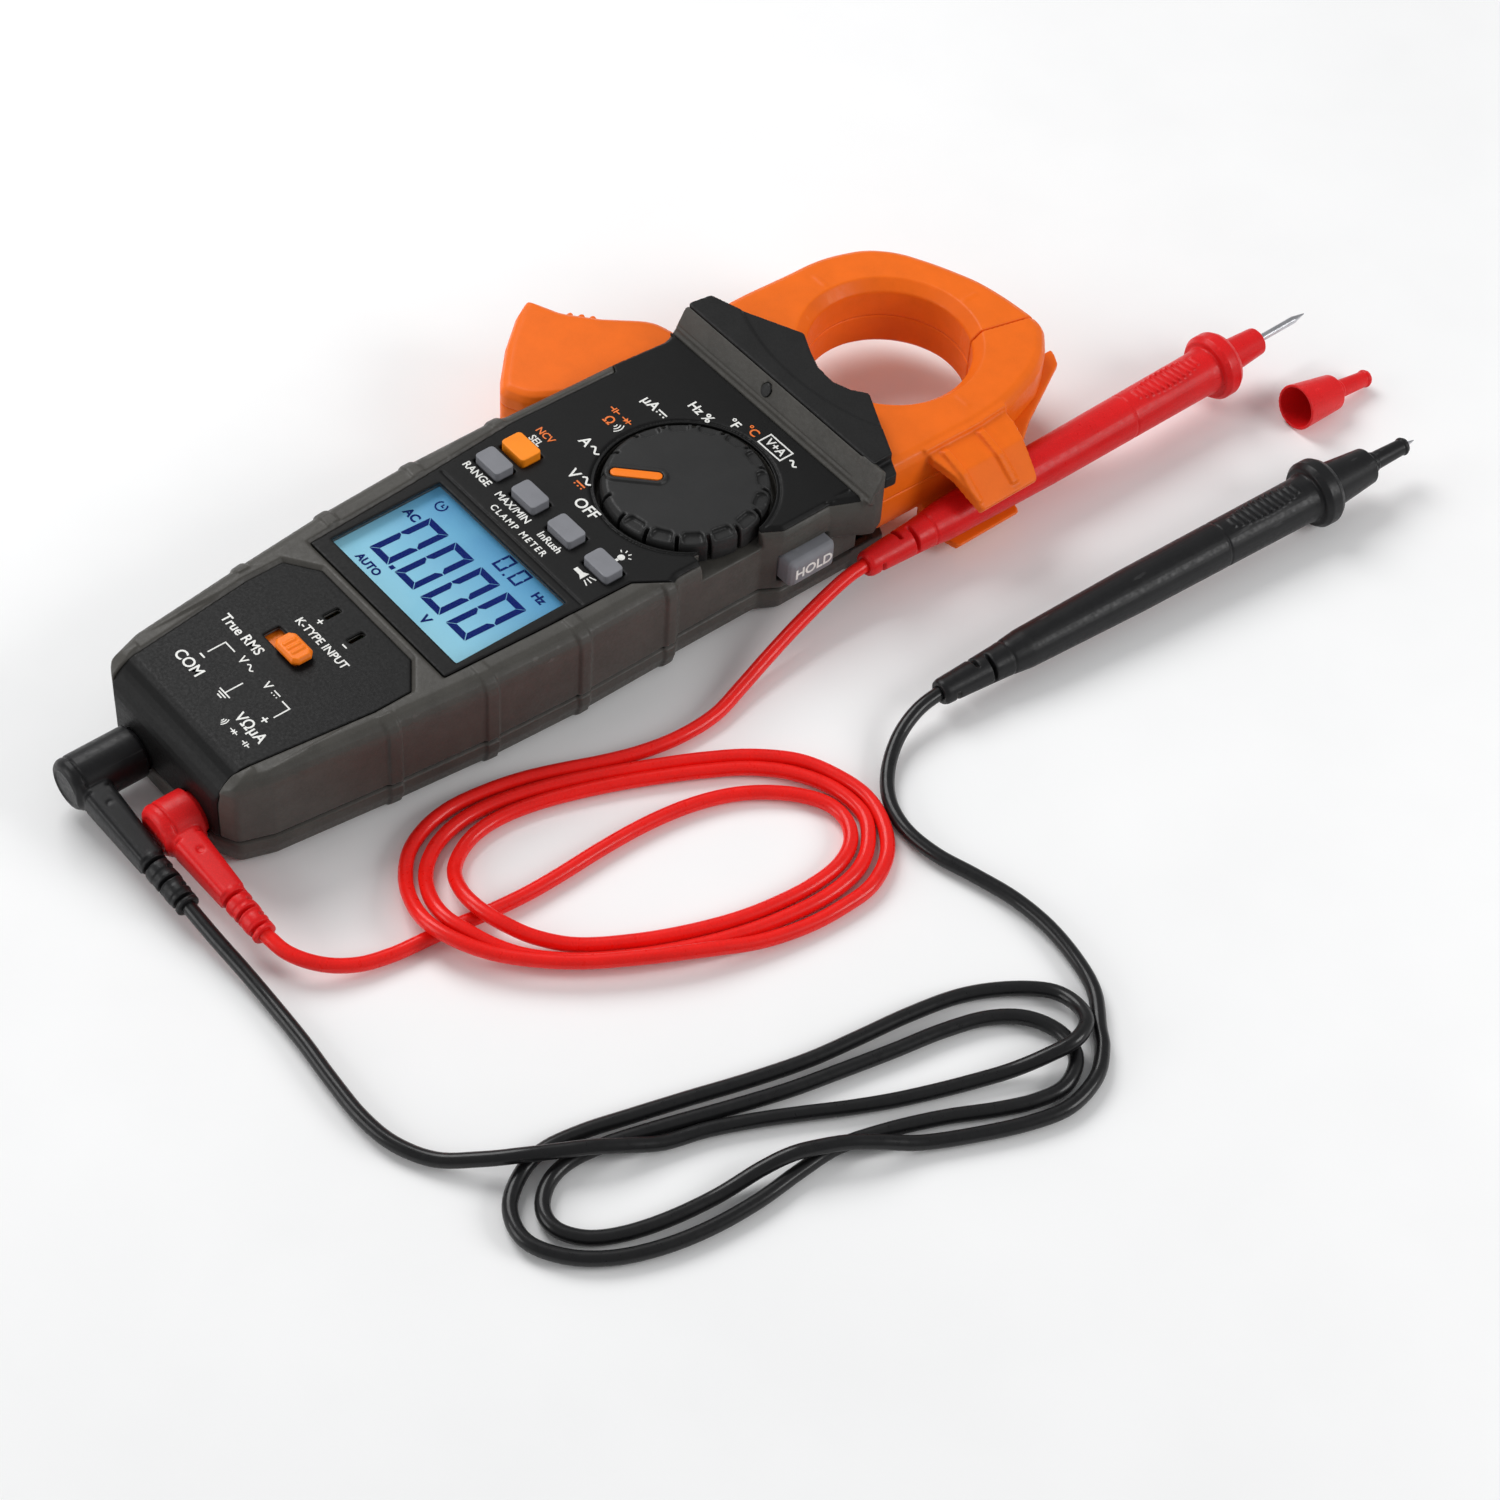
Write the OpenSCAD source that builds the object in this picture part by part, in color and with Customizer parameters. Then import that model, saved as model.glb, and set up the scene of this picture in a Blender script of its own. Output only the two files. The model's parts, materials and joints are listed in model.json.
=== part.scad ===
// AC clamp meter lying on its back, with a lever-opened jaw, a rotary switch, an LCD
// and a red and a black test lead plugged in.
// Frame: +Z out of the face, +Y from the jack end to the jaw tips, origin on the rear face.

/* [Case] */
// Height of the face above the rear face
face_z = 30; // [29.5:0.1:30.5]
// Height of the seam between the rear and front shells
seam_z = 9; // [8.6:0.1:9.4]
// Wall thickness of both shells
wall = 2.2; // [1.9:0.1:2.4]
// Height of the top of the jaw collar
collar_z = 37; // [36.5:0.1:38]
// Y of the jack end of the case
jack_end_y = -94; // [-94:0.1:-93.5]

/* [Display] */
// Width of the LCD window
lcd_w = 50.4; // [48:0.2:51]
// Length of the LCD window along Y
lcd_h = 32.2; // [30:0.2:33]

/* [Rotary switch] */
// Diameter of the knob
knob_d = 42; // [40:0.2:42.4]
// Height of the top of the knob
knob_top_z = 32; // [31:0.1:33]

/* [Jaw] */
// Diameter of the conductor opening
jaw_bore = 42.6; // [41:0.2:43]
// Lowest level of the jaws
jaw_bottom_z = 9.6; // [9.5:0.1:10]
// Highest level of the jaws
jaw_top_z = 31; // [30.5:0.1:31.2]
// Diameter of the jaw pivot pin
pivot_d = 6; // [5:0.2:6.4]

/* [Test leads] */
// Diameter of the lead cords
cord_d = 3.6; // [3.2:0.1:3.8]
// Diameter of the plug pins and jack bores
plug_pin_d = 4; // [3.9:0.05:4.1]
// Length of a probe from its strain relief to its point
probe_l = 155.6; // [150:0.2:158]

/* [Hidden] */
$fn = 48;

eps = 0.01;
charcoal = "#35322f";
board_green = "#1f6b45";
jaw_orange = "#f07a24";
grey = "#8a8a94";
steel = "#c8c8cc";
brass = "#c9a24a";
red = "#e2231a";
black = "#232323";

// --- Case outline: right side then left side, from the jack end to the jaw opening
head_y = 92;
case_points = [[19, jack_end_y], [25.5, -90.5], [28.5, -82], [32.4, -50], [35, -25],
    [36.4, 0], [36.4, 29], [35.2, 31], [35.4, 56], [38.4, 61], [38.6, head_y],
    [-35.4, head_y], [-35, 86], [-33.4, 80], [-34.6, 65], [-35.6, 31], [-36.4, 29],
    [-36.4, 0], [-35, -25], [-32.4, -50], [-28.5, -82], [-25.5, -90.5], [-19, jack_end_y]];
collar_back_y = 88;
collar_points = [[43.4, collar_back_y], [43.6, 91.8], [19, 103.9], [15.2, 101], [10.3, 99.3],
    [4.2, 99.8], [-0.9, 101.8], [-7.5, 105], [-23.7, 97.6], [-32.3, 94.9],
    [-33.4, collar_back_y]];
top_inside_z = face_z - wall;
collar_bottom_z = 31.6;
grip_rib_y = [-51, -25, 1.3, 27.5];

module case_outline(inset = 0) {
    offset(delta = -inset) offset(r = 2.5) offset(delta = -2.5) polygon(case_points);
}
module slab(z0, z1) {
    translate([0, 0, z0]) linear_extrude(z1 - z0) children();
}
module box(x0, x1, y0, y1, z0, z1) {
    translate([x0, y0, z0]) cube([x1 - x0, y1 - y0, z1 - z0]);
}
// Cylinder along +Y from y0 to y1
module y_cylinder(x, z, y0, y1, r) {
    translate([x, y0, z]) rotate([-90, 0, 0]) cylinder(h = y1 - y0, r = r);
}
module post(spot, z0, z1, r) {
    translate([spot[0], spot[1], z0]) cylinder(h = z1 - z0, r = r);
}

// --- Screws, jacks and batteries
screw_spots = [[-24.2, -76], [24.2, -76], [30.6, 8], [30, 84]];
screw_head_r = 2.9;
screw_r = 1.4;
door_screw_spot = [0, -69.5];
jack_x = [-12, 12];
jack_z = 10;
jack_recess_r = 5.6;
jack_tube_r = 2.9;
battery_x = [-11.5, 0, 11.5];
battery_z = 7.9;
battery_r = 5.2;
battery_y = [-60, -15.5];
door_x = 21;
door_y = [-73, -8.2];
door_z = [0.3, 2.1];
door_axis = [-9.2, 1.2];
door_pin_r = 0.8;
door_pin_l = 1.8;

// --- Rotary switch
knob_c = [11.7, 51.3];
knob_r = knob_d / 2;
well_r = knob_r + 1.3;
well_floor_z = 24;
well_under_z = 22;
shaft_r = 3.5;
fit = 0.05;
knob_gap = 0.4;
rotor_z = [18.9, 20.9];
board_z = [16, 17.6];
detent_count = 3;
detent_r = 1.25;
detent_z = well_floor_z + detent_r + fit;

// --- Buttons: position, width, length, height of the tip above the face
small_button = [9, 5.6];
button_y = 18;
button_tip_z = 31.6;
button_stem_z = 22.8;
button_fit = 0.3;
switch_top_z = 21.2;
select_spot = [-21.6, 26.2];
select_size = [9, 6];
button_spots = [[-21.6, button_y], [-7.2, button_y], [7.2, button_y], [21.6, button_y]];
hold_y = [60.4, 75];
hold_z = [12.4, 20.8];

// --- LCD, panel, slots and shutter
lcd_c = [0, -12.1];
panel_points = [[-22, jack_end_y - 1], [-26, -84], [-26, -41.5], [-18, -35.7], [18, -35.7],
    [26, -41.5], [26, -84], [22, jack_end_y - 1]];
panel_depth = 0.5;
slot_spots = [[-5.1, -41.9], [4.5, -41.9]];
slot_size = [1.6, 4.4];
shutter_travel = 6;
shutter_y = [-59.3, -53.2];
shutter_plate_z = [25.2, 27.4];

// --- Jaw plan, centred on the conductor opening
bore_c = [3, 125.5];
pivot = [-20, 80];
hub_r = 9.4;
jaw_mid_z = 20;
lever_top_z = 26;
jaw_gap = 0.4;
jaw_wall = 1.9;
jaw_points = [[38.2, 93], [38.6, 104], [39, 123.7], [38.2, 134.7], [33.2, 149.6],
    [28.8, 156.1], [22.2, 161.8], [17.7, 162.4], [8, 161.8], [-1.4, 160.2], [-12.3, 155.9],
    [-22.3, 150.8], [-28.7, 144.2], [-32.9, 132.3], [-33.2, 120], [-33.9, 106], [-33.4, 93]];
tip_split = [[13.4, 143], [18.9, 165]];
root_split_x = 3;
head_root_y = 84;
lever_points = [[-14, 74], [-27, 62], [-38.5, 41.5], [-46, 38], [-50, 41], [-58.5, 49],
    [-66, 58], [-69.5, 64], [-67, 65.5], [-60, 68.6], [-52.5, 75.3], [-43.5, 86], [-34.5, 88],
    [-24, 89]];
core_r = [25.6, 31];
core_z = [15, 25.4];
coil_y = [118.5, 132.5];
wing_y = [107, 133];

// --- Plugs, probes and caps
plug_face_y = jack_end_y - 0.3;
plug_barrel_r = 6.7;
plug_stem_y = -99.6;
plug_end_y = -104.6;
black_plug_out = 8.6;
red_stem = [37, 4.6];
black_stem = [43.2, 6];
probe_x = 46.5;
probe_y = 81;
probe_z = 12;
flange_r = 9;
black_probe_at = [86, 71.4, 6.3];
black_probe_yaw = -4;
black_probe_pitch = 1.4;
probe_neck_s = 125;
cap_l = 27.2;
red_cap_at = [67.2, 213.9, 6.3];
red_cap_turn = [-7.6, 0, -2];

// --- Cord routes: centre-line points where the leads lie loose
red_in_route = [[49, -99.6, 7], [56, -98, 5.8], [62, -93, 4], [66, -86, 2.6], [68, -78, 2],
    [69, -70, 2], [70, -62, 2]];
red_out_route = [[42, -32, 2], [44.1, -23, 2], [47.4, -14, 2], [51.2, -5, 2], [54.4, 4.5, 2],
    [56.2, 15, 2], [56, 26, 2.2], [53.5, 36, 3], [51, 46, 4.6], [49, 56, 6.8],
    [47.5, 66, 9.2], [46.6, 75, 11.3], [46.5, 81, 12]];
black_in_route = [[31, -108.2, 5.5], [41, -108, 4.2], [52, -107.5, 2.8], [64, -107.5, 2],
    [76, -108, 2], [88, -109, 2], [100, -109.5, 2], [110, -108, 2], [119, -103.5, 2.4],
    [126, -96.5, 4.4], [131, -90, 5.8]];
black_out_route = [[181, 36, 2], [173, 42, 2], [164, 45, 2], [153, 46.5, 2], [142, 45.8, 2],
    [131, 43, 2], [121, 40, 2], [111, 39.3, 2], [102, 42, 2], [94.5, 48, 2.2],
    [89, 56, 3.6], [86.4, 64, 5.3], [86, 71.4, 6.3]];
coil_h = 9.4;
red_coil_ends = [[60, -44, 23.4], [97.5, 14, 25.4]];
black_coil_ends = [[149, -82, 21.6], [173, 17, 21.2]];

// ---------------------------------------------------------------- case shells
module grip_ribs(z0, z1) {
    rib_w = 2.5;
    proud = 0.7;
    for (y = grip_rib_y) intersection() {
        slab(z0, z1) offset(delta = proud) case_outline();
        box(-60, 60, y - rib_w / 2, y + rib_w / 2, z0, z1);
    }
}
module head_ramp() {
    translate([-33.4, 0, 0]) rotate([90, 0, 90])
        linear_extrude(76.8) polygon([[83.5, face_z - 1], [84, face_z], [88, collar_z],
            [collar_back_y, collar_bottom_z - wall], [85, top_inside_z]]);
}
module jaw_slot() {
    // The lever swings through the left wall, and the jaws leave through the front
    box(-60, -20, 30, head_y + 1, seam_z - 1, top_inside_z - 0.8);
    box(-60, 60, collar_back_y - 3, head_y + 1, seam_z - 1, collar_bottom_z);
}
module front_shell() {
    color(charcoal) difference() {
        union() {
            difference() {
                union() {
                    slab(seam_z, face_z) intersection() {
                        case_outline();
                        translate([-50, -100]) square([100, 100 + collar_back_y]);
                    }
                    grip_ribs(seam_z, face_z - 1);
                }
                slab(seam_z - 1, top_inside_z) difference() {
                    case_outline(wall);
                    for (spot = screw_spots) translate(spot) circle(r = 3.2);
                }
            }
            head_ramp();
            slab(well_under_z, face_z) intersection() {
                case_outline();
                translate(knob_c) circle(r = well_r + 1.6);
            }
        }
        jaw_slot();
        post(knob_c, well_floor_z, face_z + 1, well_r);
        post(knob_c, well_under_z - 1, face_z, shaft_r + fit);
        box(31, 40, 38, 56.5, well_floor_z, face_z + 1);
        translate([lcd_c[0], lcd_c[1], 0])
            slab(top_inside_z - 1, face_z + 1) square([lcd_w, lcd_h], center = true);
        slab(face_z - panel_depth, face_z + 1) polygon(panel_points);
        for (spot = button_spots) button_hole(spot, small_button);
        button_hole(select_spot, select_size);
        box(30, 45, hold_y[0] - button_fit, hold_y[1] + button_fit,
            hold_z[0] - button_fit, hold_z[1] + button_fit);
        for (spot = slot_spots) translate([spot[0], spot[1], top_inside_z - 1])
            translate([-slot_size[0] / 2, -slot_size[1] / 2, 0])
                cube([slot_size[0], slot_size[1], wall + 2]);
        box(-9.4, 3.4, -58.6, -54, top_inside_z - 1, face_z + 1);
        for (x = jack_x) y_cylinder(x, jack_z, jack_end_y - 1, jack_end_y + wall + 0.4,
            jack_recess_r);
        for (spot = screw_spots) post(spot, seam_z - 1, 20, screw_r);
        y_cylinder(0.5, 33.6, 82, 92, 1.6);
    }
}
module button_hole(spot, size) {
    translate([spot[0], spot[1], 0]) slab(top_inside_z - 1, face_z + 1)
        square([size[0] + 2 * button_fit, size[1] + 2 * button_fit], center = true);
}
module collar_outline(inset = 0) {
    offset(delta = -inset) offset(r = 1) offset(delta = -1) polygon(collar_points);
}
module jaw_collar() {
    color(charcoal) slab(collar_bottom_z, collar_z) collar_outline();
}
module rear_shell() {
    foot = 1.4;
    rear_floor = 2.4;
    color(charcoal) difference() {
        union() {
            slab(0, foot) case_outline(2);
            difference() {
                union() {
                    slab(foot, seam_z) case_outline();
                    grip_ribs(foot, seam_z);
                    intersection() {
                        slab(foot, seam_z - 0.4) collar_outline();
                        box(-36, 38.6, 80, 110, 0, seam_z);
                    }
                }
                slab(rear_floor, seam_z + 1) case_outline(wall);
            }
            slab(door_z[1] + 0.4, seam_z) {
                difference() {
                    translate([-23.6, -64]) square([47.2, 51.8]);
                    translate([-22, -62.6]) square([44, 49]);
                }
                translate([-3, door_screw_spot[1]]) square([6, 6]);
                translate(door_screw_spot) circle(r = 3);
            }
            slab(foot, door_z[1] + 0.5) for (side = [-1, 1])
                translate([side * 22.8 - 0.8, -64]) square([1.6, 51.8]);
            for (spot = screw_spots) post(spot, foot, seam_z, 3.9);
            post(pivot, foot, jaw_bottom_z - 0.4, 6.6);
        }
        box(-door_x - 0.4, door_x + 0.4, door_y[0] - 0.4, door_y[1] + 0.7, -1, door_z[1] + 0.4);
        for (spot = screw_spots) {
            post(spot, -1, 2.8, screw_head_r + 0.2);
            post(spot, 0, seam_z + 1, screw_r + 0.2);
        }
        post(door_screw_spot, 0, seam_z + 1, screw_r + 0.4);
        post(pivot, 2.4, seam_z + 1, pivot_d / 2);
        post(pivot, 4.4, seam_z + 1, 5.9);
        for (x = jack_x) y_cylinder(x, jack_z, jack_end_y - 1, jack_end_y + wall + 0.4,
            jack_recess_r);
        box(-60, -33, 30, 90, jaw_bottom_z - 0.7, seam_z + 1);
        y_cylinder(3, 5.4, 93, 104, 2.6);
        door_pin(-door_x - door_pin_l - 0.4, door_x + door_pin_l + 0.4, door_pin_r + fit);
    }
}
// Hinge pin along X at the inner end of the battery door
module door_pin(x0, x1, r) {
    translate([x0, door_axis[0], door_axis[1]]) rotate([0, 90, 0])
        cylinder(h = x1 - x0, r = r);
}
module battery_door() {
    color(charcoal) difference() {
        union() {
            box(-door_x, door_x, door_y[0], door_y[1], door_z[0], door_z[1]);
            for (x = [-door_x - door_pin_l, door_x - 1])
                door_pin(x, x + door_pin_l + 1, door_pin_r);
        }
        post(door_screw_spot, -1, door_z[1] + 1, screw_r);
        post(door_screw_spot, -1, 1, 2.6);
        for (y = [-52, -48.5, -45]) box(-8, 8, y - 0.6, y + 0.6, 0, 0.7);
    }
}
module door_screw() {
    color(steel) {
        difference() {
            post(door_screw_spot, 0.35, 1, 2.5);
            box(-2, 2, door_screw_spot[1] - 0.35, door_screw_spot[1] + 0.35, 0, 0.6);
        }
        post(door_screw_spot, 1 - eps, 8, screw_r);
    }
}
module case_screws() {
    color(steel) for (spot = screw_spots) {
        difference() {
            post(spot, 0.7, 2.8, screw_head_r);
            for (turn = [0, 90]) translate([spot[0], spot[1], 0.7]) rotate(turn)
                cube([3.4, 0.8, 1.8], center = true);
        }
        post(spot, 2.8, 19, screw_r);
    }
}

// ---------------------------------------------------------------- display and board
module lcd_lens() {
    color("#a9cfe6") translate([lcd_c[0], lcd_c[1], 0]) {
        slab(top_inside_z, face_z - 0.6) square([lcd_w - 0.2, lcd_h - 0.2], center = true);
        slab(top_inside_z - 0.9, top_inside_z) square([lcd_w + 3, lcd_h + 3], center = true);
    }
}
module lcd_panel() {
    color("#8fb9d8") translate([lcd_c[0], lcd_c[1], 0])
        slab(24.4, 26.7) square([lcd_w + 2, lcd_h + 2], center = true);
}
module lcd_backlight() {
    color("white") translate([lcd_c[0], lcd_c[1], 0]) {
        slab(22, 24.3) square([lcd_w + 2, lcd_h + 2], center = true);
        for (x = [-22, 22], y = [-13, 13]) translate([x, y, board_z[1]])
            cylinder(h = 22.1 - board_z[1], r = 1.2);
    }
}
module main_board() {
    color(board_green) difference() {
        slab(board_z[0], board_z[1]) difference() {
            union() {
                translate([-28, -64]) square([56, 93.5]);
                translate([-21, -85]) square([42, 21.1]);
                translate([-9, 29]) square([35.4, 45]);
            }
            for (spot = screw_spots) translate(spot) circle(r = 4.2);
        }
        post(knob_c, board_z[0] - 1, board_z[1] + 1, 2.2);
    }
}
module tact_switch(spot) {
    translate([spot[0] - 3, spot[1] - 2.6, board_z[1]]) cube([6, 5.2, 2.6]);
    post(spot, board_z[1] + 2.5, switch_top_z, 1.6);
}
module tact_switches() {
    color("#404044") {
        for (spot = button_spots) tact_switch(spot);
        tact_switch([select_spot[0], select_spot[1] + 0.1]);
    }
}
module hold_switch() {
    color("#404044") {
        box(26.5, 29, 64, 71, 13.6, 19.6);
        translate([29 - eps, 67.7, 16.6]) rotate([0, 90, 0]) cylinder(h = 1.6, r = 1.5);
    }
}
module beeper() {
    color(brass) difference() {
        translate([-20, 2, 12.6]) cylinder(h = board_z[0] - 12.6, r = 6);
        translate([-20, 2, 12]) cylinder(h = 1.4, r = 1);
    }
}
module jack_holder() {
    holder_y = [-91, -66.4];
    color("#4a4a4e") difference() {
        box(-19.6, 19.6, holder_y[0], holder_y[1], 3.6, 15.8);
        for (x = jack_x) {
            y_cylinder(x, jack_z, holder_y[0] - 1, -74, jack_recess_r);
            y_cylinder(x, jack_z, -75, holder_y[1] + 1, jack_tube_r);
        }
        box(-4, 4, -74.5, holder_y[1] + 1, 3, 11);
    }
}
module jack_tube(x) {
    color(brass) difference() {
        y_cylinder(x, jack_z, -89, -64.6, jack_tube_r);
        y_cylinder(x, jack_z, -90, -68, plug_pin_d / 2 + fit);
    }
}
module com_jack() { jack_tube(jack_x[0]); }
module volt_jack() { jack_tube(jack_x[1]); }
module thermocouple_contacts() {
    color(brass) for (spot = slot_spots)
        for (side = [-1, 1]) box(spot[0] + side * 1.3 - 0.3, spot[0] + side * 1.3 + 0.3,
            spot[1] - 2.6, spot[1] + 2.6, board_z[1], 27.2);
}
module batteries() {
    color("#5c5c60") for (x = battery_x) {
        y_cylinder(x, battery_z, battery_y[0], battery_y[1], battery_r);
        y_cylinder(x, battery_z, battery_y[1] - eps, battery_y[1] + 1, 1.9);
    }
}
module battery_contacts() {
    color(steel) for (x = battery_x) {
        box(x - 4, x + 4, battery_y[0] - 2.4, battery_y[0] - 2, 3.6, 12);
        for (turn = [0:2]) translate([x, battery_y[0] - 1.6 + turn * 0.6, battery_z])
            rotate([-90, 0, 0]) rotate_extrude() translate([3.4 - turn * 0.6, 0])
                circle(r = 0.35, $fn = 16);
        box(x - 4, x + 4, battery_y[1] + 1.1, battery_y[1] + 1.5, 3.6, 12);
    }
}
module ncv_lens() {
    color("#d8d8d8") y_cylinder(0.5, 33.6, 83.5, 87.6, 1.55);
}
module worklight_lens() {
    color("#f4f4f0") difference() {
        y_cylinder(3, 5.4, 93.4, 99.2, 2.5);
        y_cylinder(3, 5.4, 93, 97, 1.6);
    }
}

// ---------------------------------------------------------------- jaws
module jaw_ring() {
    difference() {
        offset(r = 2) offset(delta = -2) polygon(jaw_points);
        translate(bore_c) circle(d = jaw_bore, $fn = 96);
    }
}
module left_of_split(gap) {
    polygon([[-80, 80], [root_split_x - gap, 80], [root_split_x - gap, 124],
        [tip_split[0][0] - gap, tip_split[0][1]], [tip_split[1][0] - gap, tip_split[1][1]],
        [-80, 170]]);
}
module moving_ring() { intersection() { jaw_ring(); left_of_split(jaw_gap / 2); } }
module fixed_ring() { difference() { jaw_ring(); left_of_split(-jaw_gap / 2); } }
module moving_root() {
    // Arm under the face: hub, lever and the lower part of the ring
    difference() {
        union() {
            translate(pivot) circle(r = hub_r);
            polygon([[-29, 84], [-33.2, 96], [root_split_x - jaw_gap / 2, 96],
                [root_split_x - jaw_gap / 2, 91], [-12, 84]]);
        }
        translate(pivot) circle(d = pivot_d + 2 * fit);
    }
}
module lever() {
    difference() {
        offset(r = 1.5) offset(delta = -1.5) polygon(lever_points);
        translate(pivot) circle(d = pivot_d + 2 * fit);
    }
}
module moving_jaw_lower() {
    color(jaw_orange) difference() {
        union() {
            slab(jaw_bottom_z, jaw_mid_z) moving_ring();
            slab(jaw_bottom_z + 0.6, jaw_mid_z) {
                moving_root();
                lever();
            }
        }
        slab(jaw_bottom_z + jaw_wall, jaw_mid_z + 1) offset(delta = -jaw_wall) moving_ring();
    }
}
module moving_jaw_upper() {
    color(jaw_orange) difference() {
        union() {
            slab(jaw_mid_z, jaw_top_z) moving_ring();
            slab(jaw_mid_z, lever_top_z) {
                moving_root();
                lever();
            }
        }
        slab(jaw_mid_z - 1, jaw_top_z - jaw_wall) offset(delta = -jaw_wall) moving_ring();
    }
}
module fixed_root() {
    difference() {
        polygon([[root_split_x + jaw_gap / 2, head_root_y], [35.6, head_root_y],
            [35.6, 91.5], [38.2, 93], [38.2, 96], [root_split_x + jaw_gap / 2, 96]]);
        translate(screw_spots[3]) circle(r = 4.2);
    }
}
module probe_wing(profile) {
    translate([0, wing_y[1], 0]) rotate([90, 0, 0])
        linear_extrude(wing_y[1] - wing_y[0]) polygon(profile);
}
module fixed_jaw_lower() {
    color(jaw_orange) {
        difference() {
            union() {
                slab(jaw_bottom_z, jaw_mid_z) fixed_ring();
                slab(jaw_bottom_z, jaw_mid_z) fixed_root();
            }
            slab(jaw_bottom_z + jaw_wall, jaw_mid_z + 1) offset(delta = -jaw_wall) fixed_ring();
        }
        // Clip wing under the probe
        probe_wing([[37, jaw_bottom_z + 1], [37, 3], [50, 3], [51, 5], [39.6, 5],
            [39.6, jaw_bottom_z + 1]]);
        // Guard fin beside the tip
        slab(18, jaw_mid_z) difference() {
            polygon([[22, 161], [22, 168], [27, 163.4], [38, 143.4], [44, 135], [37, 134]]);
            offset(delta = -1) fixed_ring();
        }
    }
}
module fixed_jaw_upper() {
    color(jaw_orange) {
        difference() {
            union() {
                slab(jaw_mid_z, jaw_top_z) fixed_ring();
                slab(jaw_mid_z, 26.8) fixed_root();
            }
            slab(jaw_mid_z - 1, jaw_top_z - jaw_wall) offset(delta = -jaw_wall) fixed_ring();
        }
        // Clip wing over the probe, with two ribs
        probe_wing([[37.5, 26.6], [37.5, 29.4], [47, 27], [56, 20.8], [55, 18.8],
            [46.4, 24.4]]);
        for (y = [112, 124]) translate([0, y, 0]) rotate([90, 0, 0]) linear_extrude(2)
            polygon([[39, 28.8], [41, 29.6], [48, 27.6], [54.6, 22.6], [54, 21.8]]);
    }
}
module core_band() {
    difference() {
        translate(bore_c) circle(r = core_r[1], $fn = 96);
        translate(bore_c) circle(r = core_r[0], $fn = 96);
        translate([-40, 60]) square([80, 42]);
    }
}
module moving_core() {
    color("#6e7074") slab(core_z[0], core_z[1])
        intersection() { core_band(); left_of_split(jaw_gap / 2 + 2.2); }
}
module fixed_core() {
    color("#6e7074") slab(core_z[0], core_z[1])
        difference() { core_band(); left_of_split(-jaw_gap / 2 - 2.2); }
}
module core_coil(side) {
    // Winding around the straightest part of a core
    color("#b06a32") difference() {
        translate([bore_c[0] + side * 28.2, (coil_y[0] + coil_y[1]) / 2,
            (core_z[0] + core_z[1]) / 2])
            cube([9.4, coil_y[1] - coil_y[0], 14.4], center = true);
        slab(core_z[0] - 0.1, core_z[1] + 0.1) offset(delta = 0.1) core_band();
    }
}
module moving_coil() { core_coil(-1); }
module fixed_coil() { core_coil(1); }
module jaw_pivot() {
    color(steel) post(pivot, 2.4, top_inside_z, pivot_d / 2);
}
module jaw_spring() {
    wire_d = 1;
    coil_r = 4.7;
    turns = 2.5;
    steps = 16;
    pitch = 1.3;
    first_z = 5.2;
    helix = [for (i = [0:turns * steps]) [pivot[0] + coil_r * cos(i * 360 / steps),
        pivot[1] + coil_r * sin(i * 360 / steps), first_z + i * pitch / steps]];
    color(steel) tube(helix, wire_d, 6);
}

// ---------------------------------------------------------------- rotary switch
module knob() {
    notches = 16;
    color("#2b2a29") difference() {
        union() {
            post(knob_c, well_floor_z + knob_gap, knob_top_z, knob_r);
            post(knob_c, rotor_z[1], well_floor_z + 1, shaft_r);
            post(knob_c, rotor_z[0] - 0.8, rotor_z[1] + eps, 2.2);
        }
        translate([knob_c[0], knob_c[1], 0]) {
            for (i = [0:notches - 1]) rotate(i * 360 / notches)
                translate([knob_r - 2.2, -0.5, well_floor_z]) cube([3, 1, 9]);
            rotate(225) translate([5.6, -1.4, knob_top_z - 1.2]) cube([13.2, 2.8, 2]);
        }
        for (i = [0:detent_count - 1]) translate([knob_c[0], knob_c[1], 0])
            rotate(i * 120) translate([16, 0, detent_z]) sphere(r = detent_r + fit, $fn = 24);
    }
}
module knob_pointer() {
    color(jaw_orange) translate([knob_c[0], knob_c[1], 0]) rotate(225)
        translate([5.7, -1.3, knob_top_z - 1.2]) cube([13, 2.6, 1.1]);
}
module switch_rotor() {
    color("#d9d4c4") difference() {
        union() {
            post(knob_c, rotor_z[0], rotor_z[1], 13);
            for (i = [0:3]) translate([knob_c[0], knob_c[1], 0]) rotate(i * 90 + 30)
                translate([8, -0.8, board_z[1] + 0.3]) cube([3.4, 1.6, 1.2]);
        }
        post(knob_c, rotor_z[0] - 1, rotor_z[1] + 1, 2.2 + fit);
    }
}
module detent_balls() {
    color(steel) for (i = [0:detent_count - 1]) translate([knob_c[0], knob_c[1], 0])
        rotate(i * 120) translate([16, 0, detent_z]) sphere(r = detent_r, $fn = 24);
}

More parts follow.
